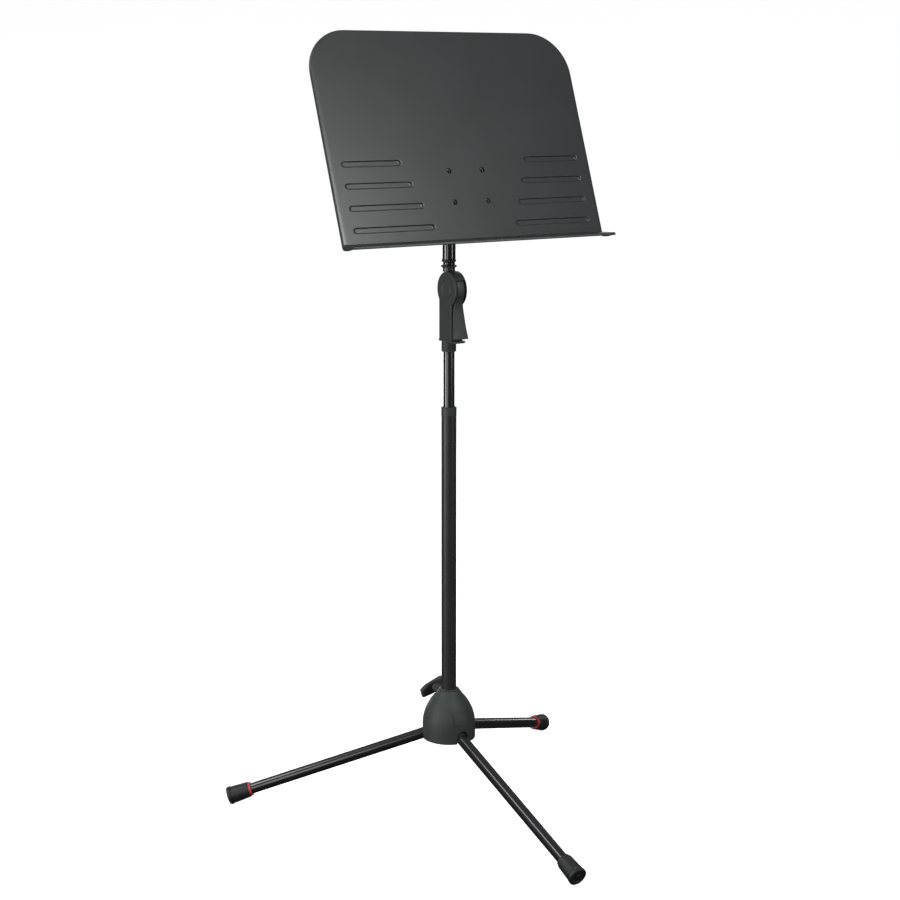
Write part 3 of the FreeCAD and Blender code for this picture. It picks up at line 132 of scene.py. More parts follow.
def turned(name, profile, place, segments, shape=None, closed=True):
    """Surface of revolution about local Z from (radius, height) points in millimetres.

    shape(radius, angle) gives another radius, for knurls and lobes.
    closed: joins the profile's end to its start."""
    points = []
    faces = []
    rows = []
    for radius, height in profile:
        if radius < TINY:
            rows.append([len(points)] * segments)
            points.append(place @ Vector((0, 0, height * MM)))
            continue
        row = []
        for index in range(segments):
            angle = TAU * index / segments
            reach = shape(radius, angle) if shape else radius
            row.append(len(points))
            points.append(place @ Vector((reach * MM * math.cos(angle),
                                          reach * MM * math.sin(angle), height * MM)))
        rows.append(row)
    last = len(rows) if closed else len(rows) - 1
    for index in range(last):
        low = rows[index]
        high = rows[(index + 1) % len(rows)]
        for j in range(segments):
            k = (j + 1) % segments
            face = []
            for corner in (low[j], low[k], high[k], high[j]):
                if corner not in face:
                    face.append(corner)
            if len(face) > 2:
                faces.append(face)
    return mesh_object(name, points, faces)


def inset_outline(outline, distance):
    """Closed outline moved inward by a distance; the outline runs anticlockwise."""
    moved = []
    count = len(outline)
    for index in range(count):
        before = outline[index] - outline[index - 1]
        after = outline[(index + 1) % count] - outline[index]
        along = (before.normalized() + after.normalized()).normalized()
        moved.append(outline[index] + Vector((-along.y, along.x)) * distance)
    return moved


def rounded_prism(name, outline, low, high, place, radius, steps):
    """Prism between two local heights in millimetres, with both rims rounded over."""
    rim = []
    for step in range(steps + 1):
        angle = QUARTER * step / steps
        rim.append((radius * (1 - math.sin(angle)), radius * (1 - math.cos(angle))))
    levels = [(inset, low + rise) for inset, rise in rim]
    levels += [(inset, high - rise) for inset, rise in reversed(rim)]
    points = []
    count = len(outline)
    for inset, height in levels:
        ring = inset_outline(outline, inset) if inset > TINY else outline
        points += [place @ Vector((p.x * MM, p.y * MM, height * MM)) for p in ring]
    faces = []
    for level in range(len(levels) - 1):
        for j in range(count):
            k = (j + 1) % count
            a = level * count
            b = a + count
            faces.append((a + j, a + k, b + k, b + j))
    faces.append(tuple(reversed(range(count))))
    top = (len(levels) - 1) * count
    faces.append(tuple(range(top, top + count)))
    return mesh_object(name, points, faces)


def merged(name, pieces):
    """One object from several; the several are deleted."""
    shape = bmesh.new()
    for piece in pieces:
        shape.from_mesh(piece.data)
        bpy.data.objects.remove(piece)
    mesh = bpy.data.meshes.new(name)
    shape.to_mesh(mesh)
    shape.free()
    obj = bpy.data.objects.new(name, mesh)
    bpy.context.scene.collection.objects.link(obj)
    return obj


def through(stations, place):
    """Smooth values at a place, from stations of (place, value, value, ...)."""
    last = len(stations) - 1
    index = max(i for i in range(last) if i == 0 or stations[i][0] <= place)
    before = stations[max(index - 1, 0)]
    start = stations[index]
    end = stations[index + 1]
    after = stations[min(index + 2, last)]
    width = end[0] - start[0]
    t = (place - start[0]) / width
    values = []
    for k in range(1, len(start)):
        leave = (end[k] - before[k]) / (end[0] - before[0]) * width
        arrive = (after[k] - start[k]) / (after[0] - start[0]) * width
        values.append((2 * t ** 3 - 3 * t ** 2 + 1) * start[k]
                      + (t ** 3 - 2 * t ** 2 + t) * leave
                      + (3 * t ** 2 - 2 * t ** 3) * end[k] + (t ** 3 - t ** 2) * arrive)
    return values


def smooth_step(value):
    """0 to 1 with soft ends."""
    value = min(1.0, max(0.0, value))
    return value * value * (3 - 2 * value)


WELD_GAP = 0.002
EDGE_SEGMENTS = 2


def soften(obj, width, angle=30):
    """Round the edges sharper than an angle in degrees, to a width in millimetres."""
    weld = obj.modifiers.new("weld", "WELD")
    weld.merge_threshold = WELD_GAP * MM
    bevel = obj.modifiers.new("edges", "BEVEL")
    bevel.width = width * MM
    bevel.segments = EDGE_SEGMENTS
    bevel.limit_method = "ANGLE"
    bevel.angle_limit = math.radians(angle)
    normals = obj.modifiers.new("normals", "WEIGHTED_NORMAL")
    normals.keep_sharp = True


# ---------------------------------------------------------------------------
# Materials
# ---------------------------------------------------------------------------

def finish_material(name, dark, light, patch, roughness, grain, depth,
                    metallic=0.0, specular=0.5, coat=0.0, coat_roughness=0.2):
    """Procedural finish.

    dark, light: colours that vary over patches of a size in millimetres.
    roughness: lowest and highest.  grain, depth: texture size and height in millimetres."""
    material = bpy.data.materials.new(name)
    material.use_nodes = True
    nodes = material.node_tree.nodes
    links = material.node_tree.links
    shader = nodes["Principled BSDF"]
    shader.inputs["Metallic"].default_value = metallic
    shader.inputs["Specular IOR Level"].default_value = specular
    shader.inputs["Coat Weight"].default_value = coat
    shader.inputs["Coat Roughness"].default_value = coat_roughness
    place = nodes.new("ShaderNodeTexCoord").outputs["Object"]

    wide = nodes.new("ShaderNodeTexNoise")
    wide.inputs["Scale"].default_value = 1 / (patch * MM)
    wide.inputs["Detail"].default_value = 5
    links.new(place, wide.inputs["Vector"])
    ramp = nodes.new("ShaderNodeValToRGB")
    ramp.color_ramp.elements[0].position = 0.3
    ramp.color_ramp.elements[0].color = (*dark, 1)
    ramp.color_ramp.elements[1].position = 0.7
    ramp.color_ramp.elements[1].color = (*light, 1)
    links.new(wide.outputs["Fac"], ramp.inputs["Fac"])
    links.new(ramp.outputs["Color"], shader.inputs["Base Color"])

    fine = nodes.new("ShaderNodeTexNoise")
    fine.inputs["Scale"].default_value = 1 / (grain * MM)
    fine.inputs["Detail"].default_value = 4
    fine.inputs["Roughness"].default_value = 0.6
    links.new(place, fine.inputs["Vector"])
    spread = nodes.new("ShaderNodeMapRange")
    spread.inputs["From Min"].default_value = 0.3
    spread.inputs["From Max"].default_value = 0.7
    spread.inputs["To Min"].default_value = roughness[0]
    spread.inputs["To Max"].default_value = roughness[1]
    links.new(fine.outputs["Fac"], spread.inputs["Value"])
    links.new(spread.outputs["Result"], shader.inputs["Roughness"])

    bump = nodes.new("ShaderNodeBump")
    bump.inputs["Strength"].default_value = 1.0
    bump.inputs["Distance"].default_value = depth * MM
    links.new(fine.outputs["Fac"], bump.inputs["Height"])
    links.new(bump.outputs["Normal"], shader.inputs["Normal"])
    return material


MATERIALS = {
    "hub_plastic": finish_material(
        "hub_plastic", dark=(0.031, 0.038, 0.036), light=(0.039, 0.047, 0.044), patch=45,
        roughness=(0.5, 0.62), grain=0.7, depth=0.05, specular=0.3),
    "grip_plastic": finish_material(
        "grip_plastic", dark=(0.028, 0.032, 0.031), light=(0.035, 0.040, 0.038), patch=30,
        roughness=(0.45, 0.58), grain=0.6, depth=0.05, specular=0.35),
    "nylon": finish_material(
        "nylon", dark=(0.030, 0.031, 0.031), light=(0.042, 0.043, 0.043), patch=20,
        roughness=(0.4, 0.55), grain=0.5, depth=0.02, specular=0.4),
    "satin_tube": finish_material(
        "satin_tube", dark=(0.017, 0.017, 0.0175), light=(0.023, 0.023, 0.0235), patch=60,
        roughness=(0.34, 0.46), grain=0.9, depth=0.03, specular=0.35),
    "gloss_tube": finish_material(
        "gloss_tube", dark=(0.008, 0.008, 0.0085), light=(0.012, 0.012, 0.0125), patch=80,
        roughness=(0.17, 0.27), grain=1.6, depth=0.012, specular=0.5,
        coat=0.3, coat_roughness=0.12),
    "black_steel": finish_material(
        "black_steel", dark=(0.018, 0.018, 0.019), light=(0.026, 0.026, 0.027), patch=25,
        roughness=(0.28, 0.42), grain=0.8, depth=0.02, specular=0.5),
    "desk_powder": finish_material(
        "desk_powder", dark=(0.021, 0.0255, 0.0245), light=(0.026, 0.031, 0.030), patch=90,
        roughness=(0.29, 0.38), grain=1.7, depth=0.09, specular=0.55),
    "rubber": finish_material(
        "rubber", dark=(0.010, 0.0105, 0.0105), light=(0.017, 0.018, 0.018), patch=12,
        roughness=(0.38, 0.55), grain=0.8, depth=0.05, specular=0.4),
    "red_ring": finish_material(
        "red_ring", dark=(0.42, 0.035, 0.045), light=(0.52, 0.055, 0.06), patch=8,
        roughness=(0.4, 0.55), grain=0.5, depth=0.02, specular=0.4),
    "bare_steel": finish_material(
        "bare_steel", dark=(0.42, 0.43, 0.44), light=(0.52, 0.53, 0.54), patch=12,
        roughness=(0.22, 0.36), grain=0.3, depth=0.01, metallic=1.0),
    "brass": finish_material(
        "brass", dark=(0.62, 0.46, 0.2), light=(0.72, 0.56, 0.27), patch=12,
        roughness=(0.25, 0.4), grain=0.3, depth=0.01, metallic=1.0),
}

SLOTS = {part["node"]: part["material_slot"] for part in frame["record"]["subparts"]}


def dress(obj, slot):
    """Give an object a slot's material."""
    obj.data.materials.clear()
    obj.data.materials.append(MATERIALS[slot])


def stands_for(obj, node):
    """The new piece takes the place, the body and the finish of a CAD node."""
    dress(obj, SLOTS[node])
    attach(obj, NODE_BODY[node])
    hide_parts(node)


for node_name, node_object in frame["nodes"].items():
    dress(node_object, SLOTS[node_name])
dress(frame["nodes"]["leg_ring_front"], "rubber")
dress(frame["nodes"]["desk_screws"], "gloss_tube")


# ---------------------------------------------------------------------------
# Desk sheet
# ---------------------------------------------------------------------------

DESK_LEAN = 20.7          # degrees back from upright
DESK_HALF_WIDTH = 240.0
DESK_HEIGHT = 339.0
DESK_CORNER_R = 70.0
DESK_SHEET = 1.0
DESK_RIM = 5.0            # how far the rim turns back
DESK_ROUND = 1.5
FACE_AHEAD = 62.3
PIVOT_ABOVE_FOLD = 87.6
LEDGE_DEPTH = 36.0
LEDGE_ANGLE = 108.0
LEDGE_HEM = 4.5
LEDGE_DROP = 7.5          # depth of the ledge's ends beside the bend
LEDGE_SHARES = (0.9, 0.75, 0.6, 0.45, 0.3, 0.18)    # rows, as shares of the ledge's depth
LEDGE_TAPER = 0.6         # share of the ledge's depth over which its ends get shallower
HEM_R = 1.6
HEM_RIM = 1.0
BEND_R = 2.0
BEND_TANGENT = BEND_R * math.tan((math.pi - math.radians(LEDGE_ANGLE)) / 2)
RIB_HALF_WIDTH = 4.6
RIB_DEPTH = 2.2
RIB_LOW = 22.0
RIB_PITCH = 34.6
RIB_COUNT = 4
RIB_OUTER = 217.5
RIB_INNER_LOW = 75.5
RIB_INNER_STEP = 13.0
RIB_WALL = 1.9            # width of the sloped wall, its rounds included
RIB_EDGE = RIB_HALF_WIDTH + RIB_WALL / 4    # from a rib's middle to the foot of its wall
WALL_ROWS = 8             # rows of points over the width of a wall
PLAIN_STEP = 14.0         # between columns where the face is plain
INNER_STEP = 1.1          # at the ribs' inner ends
OUTER_STEP = 0.9          # at the ribs' outer ends
SIDE_STEP = 6.0           # beside the rim
TOP_STEP = 12.0           # between rows above the ribs
BEND_STEPS = 5
CORNER_STEPS = 24
RIM_STEPS = 4

LEDGE_OUT = Vector((0, -math.sin(math.radians(LEDGE_ANGLE)), math.cos(math.radians(LEDGE_ANGLE))))
LEDGE_DOWN = Vector((0, -LEDGE_OUT.z, LEDGE_OUT.y))
FOLD = Vector((0, -FACE_AHEAD, -PIVOT_ABOVE_FOLD))

tilt_z = JOINTS["desk_tilt"]["pos_m"][2]
desk_place = Matrix.Translation((0, 0, tilt_z)) @ Matrix.Rotation(
    -math.radians(DESK_LEAN), 4, "X")


def rib_depth(x, height):
    """Depth of the stamped ribs at a point of the face, height above the fold."""
    index = min(RIB_COUNT - 1, max(0, round((height - RIB_LOW) / RIB_PITCH)))
    middle = RIB_LOW + index * RIB_PITCH
    inner = RIB_INNER_LOW + index * RIB_INNER_STEP + RIB_HALF_WIDTH
    outer = RIB_OUTER - RIB_HALF_WIDTH
    nearest = min(outer, max(inner, abs(x)))
    away = math.hypot(abs(x) - nearest, height - middle)
    return RIB_DEPTH * smooth_step((RIB_EDGE - away) / RIB_WALL)


def spaced(low, high, step):
    """Even values from low up to, but not at, high."""
    count = max(1, round((high - low) / step))
    return [low + (high - low) * i / count for i in range(count)]


def desk_columns():
    """X places of the face's columns, close together where the ribs end."""
    inner_low = RIB_INNER_LOW - 2
    inner_high = RIB_INNER_LOW + (RIB_COUNT - 1) * RIB_INNER_STEP + 2 * RIB_HALF_WIDTH
    outer_low = RIB_OUTER - 2 * RIB_HALF_WIDTH
    outer_high = RIB_OUTER + 2
    edge = DESK_HALF_WIDTH - DESK_ROUND
    half = (spaced(0, inner_low, PLAIN_STEP) + spaced(inner_low, inner_high, INNER_STEP)
            + spaced(inner_high, outer_low, PLAIN_STEP)
            + spaced(outer_low, outer_high, OUTER_STEP)
            + spaced(outer_high, edge, SIDE_STEP) + [edge])
    return [-x for x in reversed(half[1:])] + half


def desk_rows():
    """Heights of the face's rows above the fold, close together at the ribs' walls."""
    rows = [BEND_TANGENT + 0.5]
    for index in range(RIB_COUNT):
        middle = RIB_LOW + index * RIB_PITCH
        for side in (-1, 1):
            walls = [RIB_EDGE - RIB_WALL * i / WALL_ROWS for i in range(-1, WALL_ROWS + 2)]
            walls += [RIB_HALF_WIDTH / 4]
            rows += [middle + side * wall for wall in walls]
    straight = DESK_HEIGHT - DESK_CORNER_R
    rows += spaced(max(rows) + 8, straight, TOP_STEP)
    arc_r = DESK_CORNER_R - DESK_ROUND
    rows += [straight + arc_r * math.sin(QUARTER * i / CORNER_STEPS)
             for i in range(CORNER_STEPS + 1)]
    return sorted(rows)


def ledge_section():
    """Section from the hem's lower edge, across the ledge, to the end of the bend.

    Each entry is a place, the direction in which the sheet's end turns there, and how far."""
    section = []
    tip = FOLD + LEDGE_OUT * LEDGE_DEPTH
    for drop in (LEDGE_HEM, (LEDGE_HEM + HEM_R) / 2):
        section.append((tip + LEDGE_DOWN * drop, -LEDGE_OUT, HEM_RIM))
    centre = tip - LEDGE_OUT * HEM_R + LEDGE_DOWN * HEM_R
    for step in range(BEND_STEPS + 1):
        angle = QUARTER * step / BEND_STEPS
        normal = LEDGE_OUT * math.cos(angle) - LEDGE_DOWN * math.sin(angle)
        section.append((centre + normal * HEM_R, -normal, HEM_RIM))
    for share in LEDGE_SHARES:
        deeper = smooth_step((LEDGE_SHARES[0] - share) / LEDGE_TAPER)
        depth = LEDGE_HEM + (LEDGE_DROP - LEDGE_HEM) * deeper
        section.append((FOLD + LEDGE_OUT * LEDGE_DEPTH * share, LEDGE_DOWN, depth))
    centre = FOLD + LEDGE_OUT * BEND_TANGENT - LEDGE_DOWN * BEND_R
    for step in range(BEND_STEPS + 1):
        share = step / BEND_STEPS
        direction = (LEDGE_DOWN * (1 - share) + Y_AXIS * share).normalized()
        depth = LEDGE_DROP + (DESK_RIM - LEDGE_DROP) * share
        section.append((centre + direction * BEND_R, direction, depth))
    return section


def face_row(height, columns):
    """One row of the ribbed face, in entries like the section's."""
    edge = columns[-1]
    arc_r = DESK_CORNER_R - DESK_ROUND
    arc_z = DESK_HEIGHT - DESK_CORNER_R
    width = edge
    if height > arc_z:
        width = edge - arc_r + math.sqrt(max(0, arc_r ** 2 - (height - arc_z) ** 2))
    row = []
    for x in columns:
        point = FOLD + Z_AXIS * height
        point.x = x * width / edge
        point.y += rib_depth(x, height)
        row.append((point, Y_AXIS, DESK_RIM))
    return row


def rolled_rim(entries, border, bend_end):
    """Points that carry the sheet's edge round and back, as one ring for each border vertex."""
    rim = []
    for index, vertex in enumerate(border):
        point, direction, depth = entries[vertex]
        if index < bend_end:
            outward = -X_AXIS
        elif index >= len(border) - bend_end:
            outward = X_AXIS
        else:
            along = entries[border[index + 1]][0] - entries[border[index - 1]][0]
            outward = Vector((-along.z, 0, along.x)).normalized()
        ring = []
        for step in range(1, RIM_STEPS + 1):
            angle = QUARTER * step / RIM_STEPS
            ring.append(point + outward * DESK_ROUND * math.sin(angle)
                        + direction * DESK_ROUND * (1 - math.cos(angle)))
        if depth > DESK_ROUND:
            ring.append(point + outward * DESK_ROUND + direction * (DESK_ROUND + depth) / 2)
            ring.append(point + outward * DESK_ROUND + direction * depth)
        else:
            last = ring.pop()
            ring += [ring[-1].lerp(last, share) for share in (0.33, 0.66, 1.0)]
        rim.append(ring)
    return rim


def desk_sheet():
    """One folded sheet: ribbed face with a rolled rim, bend, ledge and down-turned hem."""
    columns = desk_columns()
    section = ledge_section()
    rows = []
    for place, direction, depth in section:
        rows.append([(Vector((x, place.y, place.z)), direction, depth) for x in columns])
    rows += [face_row(height, columns) for height in desk_rows()]
    entries = [entry for row in rows for entry in row]
    points = [place for place, direction, depth in entries]

    across = len(columns)
    faces = []
    for i in range(len(rows) - 1):
        for j in range(across - 1):
            a = i * across + j
            faces.append((a, a + 1, a + 1 + across, a + across))

    # The border runs up the left side, along the top and down the right side
    top = (len(rows) - 1) * across
    border = [i * across for i in range(len(rows))]
    border += [top + j for j in range(1, across - 1)]
    border += [i * across + across - 1 for i in reversed(range(len(rows)))]
    rim = rolled_rim(entries, border, len(section))
    base = len(points)
    for ring in rim:
        points += ring
    width = len(rim[0])
    for index in range(len(border) - 1):
        inner = [border[index], border[index + 1]]
        for step in range(width):
            outer = [base + index * width + step, base + (index + 1) * width + step]
            faces.append((inner[0], inner[1], outer[1], outer[0]))
            inner = outer
    world = [desk_place @ (p * MM) for p in points]
    sheet = mesh_object("desk_sheet", world, faces, outward=False)
    solid = sheet.modifiers.new("sheet", "SOLIDIFY")
    solid.thickness = DESK_SHEET * MM
    solid.offset = -1
    stands_for(sheet, "desk_pan")


desk_sheet()


# ---------------------------------------------------------------------------
# Squeeze lever and pivot caps
# ---------------------------------------------------------------------------

LEVER_R = 28.5
LEVER_TOP = -15.6
LEVER_SLOT_HALF = 7.3
LEVER_SLOT_DEPTH = 5.0
LEVER_WALL = 2.6
LEVER_CROWN = 0.9
LEVER_CORNER_R = 1.9
LEVER_INNER_R = 0.5
LEVER_LIP_R = 1.5
LEVER_ROW_STEP = 1.6
LEVER_ARC_STEPS = 5
LEVER_FLAT_STEPS = 6
LIP_STEPS = 4
LEVER_HEAD = (-24.0, LEVER_TOP, -8.0, 0.0, 8.0)    # stations in the slot of the round head
# Stations below the pivot: half width, front face ahead of the mast axis, depth of the sides
LEVER_BLADE = (
    (14.0, 7.3, 34.7, 4.6),
    (20.0, 7.6, 32.9, 3.8),
    (26.0, 8.3, 31.8, 3.2),
    (32.0, 9.3, 31.5, 3.2),
    (41.0, 10.4, 32.3, 3.4),
    (51.0, 11.2, 34.0, 4.2),
    (64.0, 12.3, 36.5, 5.2),
    (78.3, 13.9, 40.0, 6.2),
)
CAP_R = 14.8
CAP_SEAT = 10.25
CAP_DOME = 1.9
CAP_DOME_STEPS = 8
# The cap's edge and groove, from its foot to its dome: inset from CAP_R, height
CAP_EDGE = (
    (0.3, 0), (0, 0.3), (0, 0.9), (0.25, 1.25), (0.8, 1.4),
    (1.9, 1.45), (2.2, 1.1), (2.9, 1.1), (3.2, 1.5),
)

pivot = Vector(JOINTS["trigger_squeeze"]["pos_m"]) / MM


def lever_section(half, ahead, depth, inset):
    """Outer and inner outline of the trough at one height, as (x, ahead) pairs."""
    outlines = []
    for wall, shrink, radius in ((0, inset, LEVER_CORNER_R), (LEVER_WALL, 0, LEVER_INNER_R)):
        side = half - wall - shrink
        front = ahead - wall - shrink
        flat = side - radius
        edge = front - LEVER_CROWN * (flat / half) ** 2
        outline = [(-side, ahead - depth), (-side, ahead - depth / 2 - radius / 2)]
        for step in range(LEVER_ARC_STEPS + 1):
            angle = QUARTER * step / LEVER_ARC_STEPS
            outline.append((-flat - radius * math.cos(angle),
                            edge - radius * (1 - math.sin(angle))))
        for step in range(1, LEVER_FLAT_STEPS):
            x = flat * (step / LEVER_FLAT_STEPS - 1)
            outline.append((x, front - LEVER_CROWN * (x / half) ** 2))
        outline.append((0, front))
        outline += [(-x, y) for x, y in reversed(outline[:-1])]
        outlines.append(outline)
    return outlines


def trigger_blade():
    """One smooth trough, from the slot in the round head down to the flared tip."""
    stations = []
    for drop in LEVER_HEAD:
        reach = math.sqrt(LEVER_R ** 2 - drop ** 2) - pivot.y
        stations.append((drop, LEVER_SLOT_HALF, reach, LEVER_SLOT_DEPTH))
    stations += LEVER_BLADE
    tip = LEVER_BLADE[-1][0]
    lip = []
    for step in range(LIP_STEPS + 1):
        angle = QUARTER * step / LIP_STEPS
        lip.append((LEVER_LIP_R * (1 - math.sin(angle)), LEVER_LIP_R * (1 - math.cos(angle))))
    rows = [(LEVER_TOP + rise, inset) for inset, rise in lip]
    plain = spaced(LEVER_TOP + 2 * LEVER_LIP_R, tip - 2 * LEVER_LIP_R, LEVER_ROW_STEP)
    rows += [(drop, 0) for drop in plain]
    rows += [(tip - rise, inset) for inset, rise in reversed(lip)]
    points = []
    for drop, inset in rows:
        half, ahead, depth = through(stations, drop)
        outer, inner = lever_section(half, ahead, depth, inset)
        for x, reach in outer + inner:
            points.append(Vector((x, -reach, pivot.z - drop)) * MM)
    width = len(outer)
    faces = []
    for i in range(len(rows) - 1):
        here = i * 2 * width
        below = here + 2 * width
        for j in range(width - 1):
            faces.append((here + j, here + j + 1, below + j + 1, below + j))
            k = width + j
            faces.append((here + k + 1, here + k, below + k, below + k + 1))
        for j in (0, width - 1):
            faces.append((here + j, here + j + width, below + j + width, below + j))
    for start in (0, (len(rows) - 1) * 2 * width):
        for j in range(start, start + width - 1):
            faces.append((j, j + 1, j + 1 + width, j + width))
    blade = mesh_object("trigger_blade", points, faces)
    soften(blade, 0.4, angle=50)
    stands_for(blade, "trigger_lever")


def pivot_cap(side, name, node):
    """Softly domed disc with a fine groove inside its rim."""
    profile = [(0, 0)] + [(CAP_R - inset, height) for inset, height in CAP_EDGE]
    rim, foot = profile[-1]
    for step in range(1, CAP_DOME_STEPS + 1):
        radius = rim * (1 - step / CAP_DOME_STEPS)
        profile.append((radius, foot + (CAP_DOME - foot) * (1 - (radius / rim) ** 2)))
    place = basis(Vector((side * CAP_SEAT, pivot.y, pivot.z)) * MM, X_AXIS * side)
    stands_for(turned(name, profile, place, 72), node)


trigger_blade()
pivot_cap(-1, "pivot_cap_left", "clutch_cap_left")
pivot_cap(1, "pivot_cap_right", "clutch_cap_right")


# ---------------------------------------------------------------------------
# Lock ring, wing knob, tilt knob, mast guide and rounded edges
# ---------------------------------------------------------------------------

RING_TEETH = 24
RING_TOOTH = 0.9
RING_WAIST = 10.4         # no teeth inside this radius
# Section of the ring: radius, height
RING_PROFILE = (
    (8.2, 0.3), (8.5, 0), (12.2, 0), (12.8, 0.4), (13, 1.0), (13, 2.2), (12.6, 2.8),
    (11.6, 3.1), (10.2, 3.6), (9.9, 4.4), (9.9, 7.4), (10.2, 8.3), (11.2, 8.8),
    (11.8, 9.3), (12, 9.9), (12, 11), (11.7, 11.6), (11.1, 12), (8.5, 12), (8.2, 11.7),
)
WING_TILT = 20.0
WING_BACK = (41.9, 50.9)  # the wings' front and back faces, behind the mast axis
WING_ROUND = 2.2
# Right half of the wings' outline: across, up, corner radius
WING_HALF = ((6, -8.6, 6), (15, -7.6, 12), (28.0, -5.8, 1.6), (26.6, 8.6, 4.2), (14, 12.4, 16))
WING_RIDGES = 5
WING_RIDGE_PITCH = 3.1
WING_RIDGE_OUTER = 25.4
WING_RIDGE_HALF = 0.75
WING_RIDGE_R = 0.7
WING_RIDGE_FOOT = (-4.2, -0.5)    # of the outer ridge, and the change to each next one
WING_RIDGE_HEAD = (7.8, 0.8)
WING_RIDGE_RISE = 0.8     # how far a ridge stands out of the wing
WING_RIDGE_ROOT = 1.5     # how far it goes in
WING_BOSS = ((0, 0), (7.4, 0), (7.9, 0.5), (8.3, 2), (8.8, 4.2), (8.8, 6), (0, 6))
WING_BOSS_AHEAD = 3.0
TILT_KNOB_LOBES = 6
TILT_KNOB_HOLLOW = 2.8    # depth between the lobes
TILT_KNOB_HUB = 11.0      # no lobes inside this radius
TILT_KNOB_FADE = 8.0      # over which they reach their full depth
TILT_KNOB_START = 14.4
# Section of the tilt knob: radius, height
TILT_KNOB_PROFILE = (
    (0, 0), (14.5, 0), (16.5, 0.4), (18.2, 1.4), (19.4, 3), (20, 5), (20, 10),
    (19.5, 12), (18.4, 13.6), (16.8, 14.6), (14.8, 15), (11.5, 15), (10.6, 14.5),
    (10.2, 13.6), (9.2, 13.2), (0, 13.2),
)
GUIDE_BORE = 12.65
# The guide's lip: out from its wall, up from the hub's top
GUIDE_LIP = ((0, 0), (0.9, 0.1), (1.2, 0.6), (1.0, 1.4), (0.3, 1.9))
# Widths of the rounded edges of CAD nodes that stay
EDGE_WIDTHS = {
    "tilt_bracket": 0.5,
    "neck_head": 0.6,
    "clutch_base": 0.4,
    "desk_nuts": 0.25,
    "tilt_nut": 0.3,
    "tilt_washer": 0.15,
    "clutch_screws": 0.15,
    "clutch_stud": 0.2,
    "clamp_insert": 0.2,
}


def lock_collar():
    """Knurled ring with a waist, under the neck."""
    low = JOINTS["lock_ring_turn"]["pos_m"][2]

    def notch(radius, angle):
        tooth = 0.5 - 0.5 * math.cos(RING_TEETH * angle)
        gap = 1 - smooth_step(tooth * 1.6)
        return radius - RING_TOOTH * gap * smooth_step(radius - RING_WAIST)

    place = basis((0, 0, low), Z_AXIS)
    collar = turned("lock_collar", RING_PROFILE, place, RING_TEETH * 10, shape=notch)
    stands_for(collar, "lock_ring")
    dress(collar, "gloss_tube")


def wing_nut():
    """Arched two-wing knob with ridged ends, tilted on its screw."""
    centre = JOINTS["clamp_knob_turn"]["pos_m"]
    mirrored = [(-a, b, radius) for a, b, radius in reversed(WING_HALF)]
    outline = rounded(list(WING_HALF) + mirrored, 6)
    turn = math.radians(WING_TILT)
    side = Vector((math.cos(turn), 0, math.sin(turn)))
    place = basis(centre, -Y_AXIS, side)
    front, back = WING_BACK
    pieces = [rounded_prism("wings", outline, -back, -front, place, WING_ROUND, 5)]
    seat = basis(Vector((0, front - WING_BOSS_AHEAD, 0)) * MM + Vector(centre), Y_AXIS)
    pieces.append(turned("wing_boss", WING_BOSS, seat, 48))
    for sign in (-1, 1):
        for index in range(WING_RIDGES):
            middle = sign * (WING_RIDGE_OUTER - index * WING_RIDGE_PITCH)
            left = middle - WING_RIDGE_HALF
            right = middle + WING_RIDGE_HALF
            foot = WING_RIDGE_FOOT[0] + WING_RIDGE_FOOT[1] * index
            head = WING_RIDGE_HEAD[0] + WING_RIDGE_HEAD[1] * index
            corners = ((left, foot), (right, foot), (right, head), (left, head))
            ridge = rounded([(a, b, WING_RIDGE_R) for a, b in corners], 4)
            for low, high in ((-back - WING_RIDGE_RISE, -back + WING_RIDGE_ROOT),
                              (-front - WING_RIDGE_ROOT, -front + WING_RIDGE_RISE)):
                pieces.append(rounded_prism("ridge", ridge, low, high, place, 0.6, 3))
    knob = merged("wing_nut", pieces)
    stands_for(knob, "wing_knob")
    dress(knob, "nylon")


def tilt_grip():
    """Lobed knob on the tilt bolt."""
    def lobe(radius, angle):
        wave = 0.5 - 0.5 * math.cos(TILT_KNOB_LOBES * angle)
        hollow = TILT_KNOB_HOLLOW * (1 - wave) ** 1.5
        return radius - hollow * smooth_step((radius - TILT_KNOB_HUB) / TILT_KNOB_FADE)

    origin = Vector((TILT_KNOB_START * MM, 0, tilt_z))
    place = basis(origin, X_AXIS)
    grip = turned("tilt_grip", TILT_KNOB_PROFILE, place, TILT_KNOB_LOBES * 24, shape=lobe)
    stands_for(grip, "tilt_knob")


def mast_guide():
    """Liner in the hub's neck, with a lip round the mast on the hub's top."""
    low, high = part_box("hub_liner")
    wall = high[0] / MM
    base = low[2] / MM
    top = high[2] / MM
    profile = [(GUIDE_BORE, base), (wall, base)]
    profile += [(wall + out, top + up) for out, up in GUIDE_LIP]
    profile += [(GUIDE_BORE + 0.7, top + 2.1), (GUIDE_BORE, top + 1.6)]
    stands_for(turned("mast_guide", profile, Matrix.Identity(4), 72), "hub_liner")


mast_guide()
lock_collar()
wing_nut()
tilt_grip()

for eased, edge_width in EDGE_WIDTHS.items():
    soften(frame["nodes"][eased], edge_width)


# ---------------------------------------------------------------------------
# Floor, light and camera
# ---------------------------------------------------------------------------

FLOOR_REACH = 9000.0
FLOOR_SWEEP = 2500.0      # radius of the floor's curve up, at its edge
FLOOR_STEPS = 12
FLOOR_GLOW = 0.85
SKY_LOW = (0.03, 0.03, 0.03)
SKY_LEVEL = (0.05, 0.05, 0.05)
SKY_HIGH = (0.30, 0.30, 0.31)
